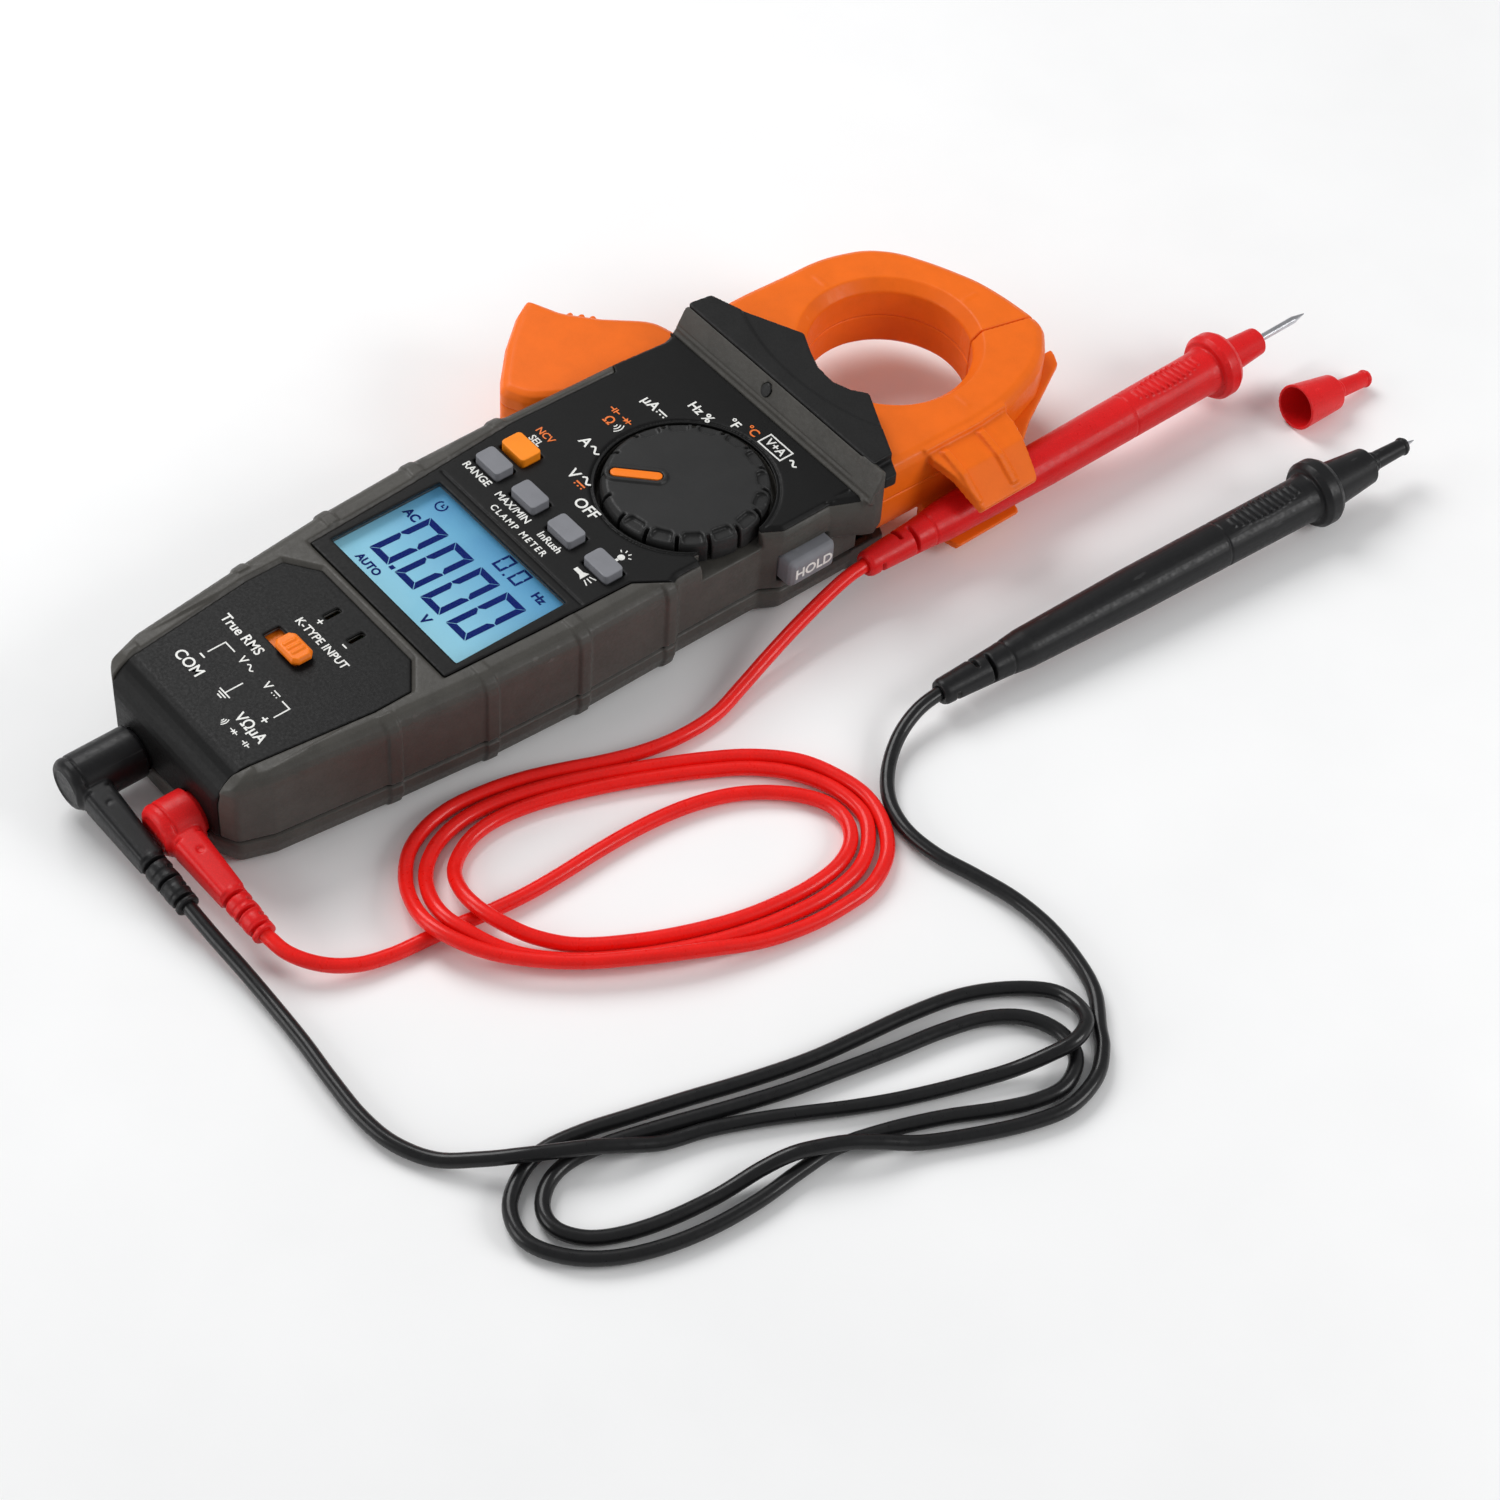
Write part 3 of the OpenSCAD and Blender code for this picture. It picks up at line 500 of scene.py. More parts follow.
def battery_material():
    mix = Mix("battery_jacket")
    cap = mix.span(mix.axis("Y"), 0, 1, -0.0275, -0.027)
    jacket = mix.ramp(mix.noise(5, 3), srgb(44, 44, 48), srgb(58, 58, 62))
    mix.colour(mix.blend(cap, jacket, srgb(176, 120, 62)))
    mix.roughness(mix.span(mix.noise(0.8), 0.22, 0.36))
    mix.bump((mix.noise(1.6, 2), 0.01))
    mix.set(Metallic=0.6)
    return mix.material


def layered(name, bands, low, high, grain, rough, depth, metallic):
    """Stacked sheets or wound turns of metal."""
    mix = Mix(name)
    layers = mix.bands(*bands)
    mix.colour(mix.ramp(layers, low, high))
    mix.roughness(mix.span(mix.noise(grain), *rough))
    mix.bump((layers, depth))
    mix.set(Metallic=metallic)
    return mix.material


def film_material():
    """Backlit display film: pale blue, lighter towards the jack end, with a faint dot grain."""
    mix = Mix("lcd_film")
    along = mix.span(mix.axis("Y"), 0, 1, -0.030, 0.006)
    glow = mix.ramp(along, srgb(150, 208, 226), srgb(84, 150, 192), 0.05, 0.9)
    patch = mix.blend(mix.span(mix.noise(16, 2), 0, 0.45, 0.45, 0.75), glow, srgb(112, 184, 212))
    mix.colour(patch)
    mix.roughness(mix.span(mix.noise(0.4), 0.3, 0.45))
    mix.bump((mix.noise(0.25, 1), 0.004))
    mix.set(Emission_Color=patch, Emission_Strength=0.3, Specular_IOR_Level=0.2)
    return mix.material


def plain(name, tint, low, high, sheen, bumps, stops=(0.3, 0.7), **numbers):
    """Nearly even, from three noises: tint (size, detail), sheen (size, least and greatest
    roughness) and bumps (size, detail, depth)."""
    mix = Mix(name)
    mix.colour(mix.ramp(mix.noise(*tint), low, high, *stops))
    mix.roughness(mix.span(mix.noise(sheen[0]), *sheen[1:]))
    mix.bump((mix.noise(*bumps[:2]), bumps[2]))
    mix.set(**numbers)
    return mix.material


def ink(name, colour, rough=0.45, **numbers):
    """Printed ink, with slight thin places."""
    return plain(name, (0.5, 3), shade(colour, 0.86), colour, (0.3, rough - 0.06, rough + 0.08),
                 (0.2, 2, 0.004), (0.3, 0.55), **numbers)


ORANGE = srgb(238, 108, 22)
LEAD_RED = srgb(234, 26, 20)
LEAD_BLACK = srgb(22, 22, 23)
CASE = srgb(67, 65, 61)
LENS_TINT = srgb(238, 240, 240)
# Name: colour, roughness, grain size, grain depth, edge wear and painted edge highlight, variation
# and speckle
MOULDED = {
    "collar_plastic": (srgb(20, 20, 20), 0.55, 0.3, 0.022, 0.3),
    "knob_plastic": (srgb(38, 38, 38), 0.42, 0.22, 0.006, 0.4, 0.1, 1.1),
    "orange_trim": (srgb(246, 124, 22), 0.36, 0.25, 0.006, 0.1, 0.05, 1.05),
    "button_rubber": (srgb(126, 127, 132), 0.55, 0.2, 0.008, 0.15, 0.07, 1.05),
    "select_rubber": (srgb(250, 140, 24), 0.5, 0.2, 0.008, 0.1, 0.05, 1.05),
    "backlight": (srgb(232, 238, 242), 0.4, 0.3, 0.004, 0, 0.03),
    "switch_black": (srgb(56, 56, 60), 0.45, 0.25, 0.01, 0.2),
    "rotor_nylon": (srgb(218, 212, 196), 0.45, 0.3, 0.006, 0, 0.05),
    "red_probe": (srgb(214, 26, 28), 0.36, 0.35, 0.006, 0.12, 0.06),
    "black_probe": (srgb(26, 26, 27), 0.38, 0.35, 0.008, 0.35, 0.12),
}
LOOKS = {
    **{name: moulded(name, *numbers) for name, numbers in MOULDED.items()},
    # The case gets a line of painted shade along the shell seam at z = 9
    "case_plastic": moulded("case_plastic", CASE, 0.46, 0.32, 0.02, 0.4, 0.15, seam_shade_z=9,
                            Specular_IOR_Level=0.3),
    "jaw_plastic": moulded("jaw_plastic", ORANGE, 0.4, 0.3, 0.008, 0.12, 0.05, 1.05,
                           Specular_IOR_Level=0.18),
    "red_lead": moulded("red_lead", LEAD_RED, 0.34, 0.5, 0.004, 0, 0.06, Coat_Weight=0.15),
    "black_lead": moulded("black_lead", LEAD_BLACK, 0.34, 0.5, 0.004, 0, 0.1, Coat_Weight=0.2),
    "lcd_window": plain("lcd_window", (12, 2), srgb(40, 70, 90), srgb(50, 80, 100),
                        (2.5, 0.03, 0.08), (1.5, 2, 0.001), Alpha=0.08, IOR=1.49),
    "clear_lens": plain("clear_lens", (12, 2), LENS_TINT, shade(LENS_TINT, 1.05),
                        (2.5, 0.18, 0.41), (1.5, 2, 0.012), Transmission_Weight=1.0, IOR=1.4),
    "lcd_film": film_material(),
    "circuit_board": board_material(),
    "battery_jacket": battery_material(),
    "steel": metal("steel", srgb(206, 206, 210), 0.28),
    "brass": metal("brass", srgb(214, 172, 92), 0.24),
    "core_iron": layered("core_iron", (0.35, "Z", 0.4), srgb(96, 97, 100), srgb(150, 152, 156),
                         0.6, (0.35, 0.55), 0.05, 0.9),
    "winding": layered("winding", (0.32, "Y", 0.25), srgb(92, 38, 16), srgb(196, 104, 48),
                       0.5, (0.2, 0.35), 0.12, 0.5),
}
FASCIA = moulded("fascia_plastic", srgb(17, 17, 17), 0.45, 0.22, 0.005, 0, 0.1, 1.1,
                 Specular_IOR_Level=0.15)
WHITE_INK = ink("white_ink", srgb(236, 236, 232))
ORANGE_INK = ink("orange_ink", srgb(240, 118, 34))
SEGMENT_INK = ink("segment_ink", srgb(8, 22, 112), 0.75, Specular_IOR_Level=0.05)
SLOT_OF = {row["node"]: row["material_slot"] for row in frame["record"]["subparts"]}


def finish_piece(piece, body, nodes=(), slot=None, look=None):
    """Gives a piece its material and its body, and hides the CAD nodes that it stands for."""
    slot = slot or SLOT_OF[nodes[0]]
    piece.data.materials.clear()
    piece.data.materials.append(look or LOOKS[slot])
    if nodes:
        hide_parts(*nodes)
    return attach(piece, body)


def mould(piece, voxel, passes, keep, node, body="meter", look=None):
    """Softens a piece and finishes it in the place of a CAD node."""
    return finish_piece(soften(piece, voxel, passes, keep), body, [node], look=look)


# ---------------- case
FACE_Z, SEAM_Z, WALL = 30, 9, 2.2
FACE_RECESS, PANEL_RECESS = 0.5, 0.8
END_FIELD = 21.8
CASE_SIDE, PANEL_SIDE = (
    [(19, -94), (25.5, -90.5), (28.5, -82), (32.4, -50), (35, -25), (36.4, 0), (36.4, 29)],
    [(END_FIELD, -97), (END_FIELD + 0.4, -84), (26, -52), (26, -41.5), (18, -35.7)])
CASE_OTHER, PANEL_OTHER = ([(-x, y) for x, y in side[::-1]] for side in (CASE_SIDE, PANEL_SIDE))
CASE_HEAD = [(35.2, 31), (35.4, 56), (38.4, 61), (38.6, 92), (-35.4, 92), (-35, 86), (-33.4, 80),
             (-34.6, 65), (-35.6, 31)]
CASE_OUTLINE = rounded(CASE_SIDE + CASE_HEAD + CASE_OTHER, 3)
PANEL = PANEL_SIDE + PANEL_OTHER
FACE_FIELD = [(27, -33), (28.4, -5), (29.2, 20.4), (37.4, 32.5), (42, 34), (42, 83.4), (-40, 83.4),
              (-40, 67), (-30.6, 62.6), (-31.4, 31), (-29.6, 8), (-28.6, -5), (-27, -33)]
RIB_Y = (-51, -25, 1.3, 27.5)
RIB_HALF, RIB_PROUD = 1.6, 0.65
SIDE_BEVEL = ((0, 25.6), (0.3, 27.2), (1.1, 28.6), (2.3, 29.5))
FASCIA_Z = 28.5
KNOB_AT = (11.7, 51.3)


def arc(centre, radius, start, end, steps=8):
    angles = [math.radians(start + (end - start) * k / steps) for k in range(steps + 1)]
    return [(centre[0] + radius * math.cos(a), centre[1] + radius * math.sin(a)) for a in angles]


def end_profile(depth):
    """Side view of the case's rounded jack end, moved in by depth."""
    return [*arc((-84, 20), 10 - depth, 90, 180), *arc((-90, 3.5), 4 - depth, 180, 270),
            (120, -0.5 + depth), (120, 45), (-84, 45)]


def end_skin(x0, x1, depth):
    """The outermost depth of the jack end between two X positions."""
    skin = side_prism(end_profile(-1), x0, x1)
    trim(skin, block(x0 - 1, x1 + 1, -97, -83.5, -2, 31))
    return cut(skin, side_prism(end_profile(depth), x0 - 1, x1 + 1))


def front_envelope(out):
    """The front shell's outer form with its wide rounded bevel, moved out by out."""
    steps = ((1.1, SEAM_Z - 1), (1.1, SEAM_Z + 0.25), (0, SEAM_Z + 0.7), *SIDE_BEVEL,
             (3.9, FACE_Z + out / 2))
    return tapered(CASE_OUTLINE, *((depth - out, z) for depth, z in steps))


def rear_envelope(out):
    """The rear shell's outer form, drawn in towards the rear face, moved out by out."""
    steps = ((2.6, 0), (2.1, 0.7), (1, 2), (0, SEAM_Z - 3.4), (0, SEAM_Z - 0.7),
             (1.1, SEAM_Z - 0.25), (1.1, SEAM_Z + 1))
    return tapered(CASE_OUTLINE, *((depth - out, z) for depth, z in steps))


def grip_bands(envelope, z0, z1):
    """Raised bands that wrap over the edge of a shell at each grip rib."""
    bands = []
    for y in RIB_Y:
        for x0, x1 in ((-60, -28.6), (28.6, 60)):
            band = trim(envelope(RIB_PROUD), block(x0, x1, y - RIB_HALF, y + RIB_HALF, z0, z1))
            bands.append(cut(band, envelope(-1.2)))
    return bands


def fascia_region(gap):
    """The sunk field of the face, the jack panel and the rounded end, moved in by gap."""
    skin = side_prism(end_profile(-1), gap - END_FIELD, END_FIELD - gap)
    trim(skin, block(-40, 40, -97, -83.5, SEAM_Z + 0.5, 31))
    cut(skin, side_prism(end_profile(1.5 - gap), -40, 40))
    fields = (prism(inset(field, gap), FASCIA_Z - gap, 34) for field in (PANEL, FACE_FIELD))
    return join(*fields, skin)


def sloped_edge(points):
    """Clears the space over a sunk field, with a slope up to the bumpers round it."""
    return tapered(points, (0, 29), (-0.9, FACE_Z + 0.02), (-0.95, FACE_Z + 4))


def shell_form():
    """The front shell in its rounded outer form, with the ridge and its side post at the head."""
    shell = cad_copy("front_shell", "front_cover")
    ridge = prism(rounded(rect(-33.6, 43.5, 20, 37.2), 3, 6), -89, -82.8)
    form = join(front_envelope(0), placed(ridge, turn=(90, 0, 0)))
    # The rounded jack end needs a wall of its own, as the CAD's inner corner is square
    lining = end_skin(-32, 32, WALL + 0.7)
    trim(lining, block(-40, 40, -95, -83.5, 17, 31), prism(inset(CASE_OUTLINE, 1), 10, 40))
    # The head's side swells out to meet the ridge
    swell = rounded([(35, 73), (38.6, 75.5), (41.6, 82), (43.3, 86), (43.3, 88.9), (35, 88.9)], 1.5)
    slope = [(83, 17.5), (83, 27), (84.2, 30.2), (88, 36.4), (89, 36.6), (89, 21), (86, 17.5)]
    post = trim(prism(swell, 17.5, 37.2), side_prism(slope, 30, 45))
    low = tapered(swell, (0, 17.5), *SIDE_BEVEL)
    join(post, trim(low, side_prism([(70, 19), (86, 17.5), (88.8, 21), (88.8, 32), (70, 32)],
                                    30, 45)))
    join(shell, lining)
    trim(shell, form, side_prism(end_profile(0), -50, 50))
    return join(shell, post)


shell = shell_form()
join(shell, *grip_bands(front_envelope, SEAM_Z, FACE_Z + 1))
# Step along the side of the head, above and below the hold button
cut(shell, block(37.9, 41, 57.5, 90, 21.6, 22.2))
cut(shell, sloped_edge(PANEL), sloped_edge(FACE_FIELD), fascia_region(0))
# Groove along the head's other side
cut(shell, prism([(-33.689, 65.689), (-33.089, 65.712), (-33.611, 79.311), (-34.211, 79.288)],
                 28.7, 31))
mould(shell, 0.34, 2, 0.3, "front_shell")

# The darker sunk face, with its button holes, knob well, display opening and jack end
fascia = trim(shell_form(), fascia_region(0.12))
cut(fascia, block(-60, 60, -34.5, 83.4, FACE_Z - FACE_RECESS, 40),
    block(-60, 60, -90, -34.5, FACE_Z - PANEL_RECESS, 40), end_skin(-30, 30, 0.6))
# Thin line between the display and the buttons, and a shallow ring round the knob's well
cut(fascia, block(-27.95, 27.95, 6.25, 6.95, 29.05, 31))
ring = cut(prism(circle(KNOB_AT, 23.6), 29.1, 30.5), prism(circle(KNOB_AT, 22.9), 29, 31))
cut(fascia, trim(ring, block(-12, 34.6, 25, 80, 28, 32)))
finish_piece(soften(fascia, 0.28, 3, 0.26), "meter", slot="case_plastic", look=FASCIA)

# The smoked lens of the voltage sensor, a low pip on the head's ramp
lens = trim(cad_copy("ncv_lens", "ncv_lens_cover"),
            side_prism([(83.4, 29.3), (88.4, 38.3), (95, 38), (95, 29)], -3, 4))
mould(lens, 0.16, 4, 0.5, "ncv_lens", look=LOOKS["knob_plastic"])

shell = cad_copy("rear_shell", "rear_cover")
form = join(rear_envelope(0), block(-36, 39, 84, 110, -1, SEAM_Z + 1))
trim(shell, form, side_prism(end_profile(0), -50, 50))
join(shell, *grip_bands(rear_envelope, 0.4, SEAM_Z))
cut(shell, end_skin(-21.6, 21.6, 0.6), end_skin(21.2, 22.2, 1.2), end_skin(-22.2, -21.2, 1.2))
# Blank rating-plate recess and three anti-slip grooves on the back of the head
cut(shell, prism(rounded(rect(-20, 20, 6, 44), 3), -1, 0.5))
for y in (52, 56, 60):
    cut(shell, prism(rounded(rect(-16, 16, y - 0.8, y + 0.8), 0.7), -1, 0.6))
mould(shell, 0.34, 2, 0.28, "rear_shell")

collar = cad_copy("jaw_collar", "jaw_collar_cover")
# The field in front of the arc lies lower than the one behind it
arc_points = arc((3.2, 161.6), 69.4, 247, 293, 24)
front = prism([*arc_points, (60, 130), (-60, 130)], 36.65, 39)
cut(collar, front, block(38.8, 50, 80, 110, 35, 40))
mould(collar, 0.3, 3, 0.4, "jaw_collar")

door = cad_copy("battery_door", "battery_cover")
border = rounded(rect(-18.5, 18.5, -65.5, -11), 2)
cut(door, cut(prism(border, -1, 0.55), prism(inset(border, 0.7), -2, 2)))
# Moulded polarity mark: a plus at one end and a minus at the other
for x in (-11.5, 0, 11.5):
    join(door, block(x - 1.6, x + 1.6, -20.3, -19.7, 0.12, 0.6),
         block(x - 0.3, x + 0.3, -21.6, -18.4, 0.12, 0.6),
         block(x - 1.6, x + 1.6, -39.3, -38.7, 0.12, 0.6))
mould(door, 0.22, 2, 0.3, "battery_door", "battery_door")

# ---------------- jaws
JAW_POINTS = [(38.2, 84), (38.6, 104), (39, 123.7), (38.2, 134.7), (33.2, 149.6), (28.8, 156.1),
              (22.2, 161.8), (17.7, 162.4), (8, 161.8), (-1.4, 160.2), (-12.3, 155.9),
              (-22.3, 150.8), (-28.7, 144.2), (-32.9, 132.3), (-33.2, 120), (-33.9, 106),
              (-33.4, 84)]
LEVER_POINTS = [(-14, 74), (-27, 62), (-38.5, 41.5), (-46, 38), (-50, 41), (-58.5, 49), (-66, 58),
                (-69.5, 64), (-67, 65.5), (-60, 68.6), (-52.5, 75.3), (-43.5, 86), (-34.5, 88),
                (-24, 89)]
BORE_AT, BORE_R = (3, 125.5), 21.3
JAW_MID, JAW_LOW, JAW_TOP = 20, 9.6, 31
# Raised bars that show where the conductor should lie: x0, x1, y0, y1
MARKS = {"moving": ((-27, -22.5, 125.1, 125.9), (2.6, 3.4, 150.5, 155)),
         "fixed": ((28.5, 33, 125.1, 125.9),)}


def jaw_form(upper):
    """Outer form of the upper or lower half of the jaws and lever, with its bevels."""
    ring, lever = rounded(JAW_POINTS, 80, 6), rounded(LEVER_POINTS, 12)
    if upper:
        body = tapered(ring, (-0.05, JAW_MID - 1), (-0.05, 28.2), (0.9, 30.1), (2.6, JAW_TOP))
        arm = tapered(lever, (-0.05, JAW_MID - 1), (-0.05, 23.4), (0.9, 25.2), (2.4, 26.01))
        cone = ((-1, 27.2), (1, 29.2), (3, 31.2))
    else:
        body = tapered(ring, (1.8, JAW_LOW), (0.5, 10.8), (-0.05, 12.6), (-0.05, JAW_MID + 1))
        arm = tapered(lever, (1.8, 10.1), (0.6, 11.2), (-0.05, 13), (-0.05, JAW_MID + 1))
        cone = ((2.2, 9.4), (0, 11.8), (-1, 12.8))
    cut(body, loft([(circle(BORE_AT, BORE_R + wider), z) for wider, z in cone]))
    # What lies inside the case, and the clip wings and guard fin, keep their own shape
    top_wing = rounded([(35, 105), (42, 107.6), (56.6, 111.2), (56.6, 129.6), (42, 133),
                        (35, 134.4)], 3.4)
    low_wing = rounded([(35, 106), (51.6, 109.6), (51.6, 130.4), (35, 134)], 3.4)
    fin = rounded([(18, 158), (21.4, 166.4), (27.4, 163.2), (38, 144.6), (43.2, 136.6),
                   (42.4, 131), (36, 126), (18, 130)], 3)
    return join(body, arm, block(-31, 36, 60, 97, 9, 27), prism(top_wing, 16, 30.5),
                prism(low_wing, 2, 12), prism(fin, 17.5, 20.5))


for side, body in (("moving", "moving_jaw"), ("fixed", "meter")):
    for half in ("lower", "upper"):
        node = f"{side}_jaw_{half}"
        jaw = trim(cad_copy(node, node + "_cover"), jaw_form(half == "upper"))
        if half == "upper":
            join(jaw, *(block(*mark, 30.6, 31.25) for mark in MARKS[side]))
        if side == "moving":
            # Finger ridges on the lever's outer edge
            z0, z1 = (JAW_MID, 24.6) if half == "upper" else (11.6, JAW_MID)
            for along in (0.2, 0.5, 0.8):
                x, y = -60 + 7.5 * along, 68.6 + 6.7 * along
                join(jaw, prism(circle((x, y), 0.9, 20), z0, z1))
        mould(jaw, 0.36, 5, 0.32, node, body)

# ---------------- knob, buttons and shutter
KNOB_R, KNOB_TOP, POINTER_ANGLE = 21, 32, 225


def knob_local(piece, angle):
    return placed(piece, (*KNOB_AT, 0), (0, 0, angle))


def pill(r0, r1, width, steps=10):
    """Outline of a round-ended bar along X."""
    half = width / 2
    return [*arc((r1 - half, 0), half, -90, 90, steps), *arc((r0 + half, 0), half, 90, 270, steps)]


knob = cad_copy("knob", "knob_cover")
levels = ((0, 17), (0, 29.4), (0.5, 30.6), (1.6, 31.45))
trim(knob, loft([(circle(KNOB_AT, KNOB_R - less, 96), z) for less, z in levels]))
# Thumb notches along the rim, which stay clear of the pointer's side
notch = [(17.6, -1.9), (18.5, -2.5), (23, -2.7), (23, 2.7), (18.5, 2.5), (17.6, 1.9)]
for k in range(12):
    cut(knob, knob_local(prism(notch, 30.3, 33), POINTER_ANGLE + 56.25 + k * 22.5))
border = cut(prism(pill(4.4, 20.1, 5.4), 30.8, KNOB_TOP), prism(pill(5.5, 19.0, 3.2), 29, 34))
join(knob, knob_local(border, POINTER_ANGLE))
mould(knob, 0.26, 3, 0.4, "knob", "knob")

bar = prism(pill(5.75, 18.6, 2.5, 12), 30.82, 31.95, "pointer_bar")
knob_local(bevelled(bar, 0.3), POINTER_ANGLE)
finish_piece(bar, "knob", ["knob_pointer"])

for node in ("range_button", "maxmin_button", "inrush_button", "light_button", "select_button",
             "hold_button"):
    button = cad_copy(node, node + "_cap")
    if node == "hold_button":
        form = tapered(rounded(rect(60.4, 75, 12.4, 20.8), 1.8), (-0.05, 34.7), (-0.05, 40.8),
                       (0.45, 41.7), (1.4, 42.35))
        form.data.transform(TO_SIDE)
        trim(button, join(form, block(32, 34.75, 55, 80, 8, 25)))
    mould(button, 0.16, 5, 0.35, node, node)

shutter = cad_copy("input_shutter", "shutter_knob")
plan = [(-4.8, -58), (-3.4, -59.3), (3.2, -59.3), (4.6, -58), (4.6, -54.5), (3.2, -53.2),
        (-3.4, -53.2), (-4.8, -54.5)]
trim(shutter, join(tapered(plan, (0, 29.9), (0, 31), (0.6, 31.8)),
                   block(-13, 13, -63, -50, 24, 30.05)))
for x in (-1.7, 0, 1.7):
    join(shutter, block(x - 0.32, x + 0.32, -58, -54.6, 31.2, 32.1))
mould(shutter, 0.18, 3, 0.4, "input_shutter", "input_shutter")

# ---------------- display and legends
LCD_Z = 26.7
SLANT = 0.05


def zero_digit(x, y, width, height, thick):
    """The six segments of a slanted 0, as outlines, from its lower left corner."""
    t, gap, mid = thick, thick * 0.09, height / 2
    top = [(gap, height), (width - gap, height), (width - t - gap, height - t),
           (t + gap, height - t)]
    bottom = [(t + gap, t), (width - t - gap, t), (width - gap, 0), (gap, 0)]
    side = [(0, height - gap), (t, height - t - gap), (t, mid + t * 0.75), (t * 0.4, mid + gap),
            (0, mid + gap)]
    level = (top, [(width - a, b) for a, b in side], [(width - a, height - b) for a, b in side],
             bottom, [(a, height - b) for a, b in side], side)
    return [[(x + a + SLANT * b, y + b) for a, b in segment] for segment in level]


def plates(name, outlines, z0, z1):
    """Thin raised plates, one for each outline, as one piece."""
    pieces = []
    for index, outline in enumerate(outlines):
        # Neighbours that overlap differ slightly in height
        z1 += (0.004, 0.004, -0.008)[index % 3]
        pieces.append(prism(outline, z0, z1))
    return gathered(name, pieces)


def lettering(text, at, size, thick, bold=0.02, spread=1.0):
    """Raised lettering, centred on at, with capitals size high."""
    curve = bpy.data.curves.new(text, "FONT")
    curve.body = text
    curve.size = size / 0.7 * MM
    curve.extrude = thick / 2 * MM
    curve.offset = bold * size * MM
    curve.space_character = spread
    curve.resolution_u = 4
    curve.align_x, curve.align_y = "CENTER", "CENTER"
    source = link("text", curve)
    mesh = evaluated(source)
    bpy.data.objects.remove(source)
    bpy.data.curves.remove(curve)
    mesh.transform(Matrix.Translation(Vector(at) * MM))
    return link("text", mesh)


def gathered(name, pieces):
    """Several mesh pieces joined into one object."""
    mesh = bmesh.new()
    for piece in pieces:
        mesh.from_mesh(piece.data)
        drop(piece)
    data = bpy.data.meshes.new(name)
    mesh.to_mesh(data)
    mesh.free()
    return link(name, data)


def stroke(points, width):
    """Outline of one even stroke along a path."""
    path = [Vector(p) for p in points]
    left, right = [], []
    for i, here in enumerate(path):
        ahead = (path[min(i + 1, len(path) - 1)] - path[min(i, len(path) - 2)]).normalized()
        behind = (path[max(i, 1)] - path[max(i - 1, 0)]).normalized()
        normal = Vector((-ahead.y - behind.y, ahead.x + behind.x))
        normal *= width / max(normal.length_squared, 1.2)
        left.append(tuple(here + normal))
        right.append(tuple(here - normal))
    return [left + right[::-1]]


def dash(x0, x1, y, line):
    return stroke([(x0, y), (x1, y)], line)


def upright(x, y0, y1, line):
    return stroke([(x, y0), (x, y1)], line)


def wave_sign(x, y, width, line=0.5):
    """The sine sign for alternating current."""
    points = [(x + width * (k / 12 - 0.5), y + 0.22 * width * math.sin(2 * math.pi * k / 12))
              for k in range(13)]
    return stroke(points, line)


def dc_sign(x, y, width, line=0.42):
    """The sign for direct current: a bar over three dashes."""
    part = width / 5
    made = dash(x - width / 2, x + width / 2, y + 0.45, line)
    for k in (-1, 0, 1):
        made += dash(x + k * 2 * part - part / 3, x + k * 2 * part + part / 3, y - 0.45, line)
    return made


def diode_sign(x, y, size, line=0.3):
    half = size / 2
    return [[(x - half * 0.6, y - half), (x + half * 0.6, y), (x - half * 0.6, y + half)],
            *upright(x + half * 0.7, y - half, y + half, line), *dash(x - size, x + size, y, line)]


def capacitor_sign(x, y, size, line=0.34):
    half = size / 2
    return [*dash(x - size, x - 0.35, y, line), *dash(x + 0.35, x + size, y, line),
            *upright(x - 0.35, y - half, y + half, line),
            *upright(x + 0.35, y - half, y + half, line)]


def sound_sign(x, y, size, line=0.3):
    return [stroke(arc((x, y), size * k / 3, -40, 40, 6), line)[0] for k in (1, 2, 3)]


outlines = []
for x in (-19.7, -9.4, 0.9, 11.2):
    outlines += zero_digit(x, -21, 7.5, 17.6, 1.75)
outlines.append([(-11.6, -21.2), (-10.3, -21.2), (-10.2, -20), (-11.5, -20)])
for x in (2.3, 8.3):
    outlines += zero_digit(x, -0.9, 3.4, 5.3, 0.62)
outlines.append(rect(6.7, 7.3, -1.1, -0.5))
# Auto power-off sign: an open ring with a hand
outlines += stroke(arc((-20.4, 1), 1.5, 120, 420, 16), 0.42)
outlines += stroke([(-20.4, 1.9), (-20.4, 1), (-19.6, 1)], 0.35)
segments = plates("lcd_segments", outlines, LCD_Z + 0.01, LCD_Z + 0.08)
z = LCD_Z + 0.045
words = [lettering(*word, 0.07, 0.05) for word in (
    ("AC", (-22.2, -6.6, z), 2.4), ("AUTO", (-15, -24.6, z), 2.1),
    ("V", (7.6, -24.4, z), 2.6), ("Hz", (18.2, 1.2, z), 2.3))]
finish_piece(gathered("lcd_digits", [segments, *words]), "meter", slot="lcd_film", look=SEGMENT_INK)

face = FACE_Z - FACE_RECESS + 0.02
panel = FACE_Z - PANEL_RECESS + 0.02
white, orange = [], []


def label(text, x, y, size, group=white, z=face, **extra):
    group.append(lettering(text, (x, y, z), size, 0.16, **extra))


def signs(outlines, group=white, z=face):
    group.append(plates("signs", outlines, z - 0.08, z + 0.08))


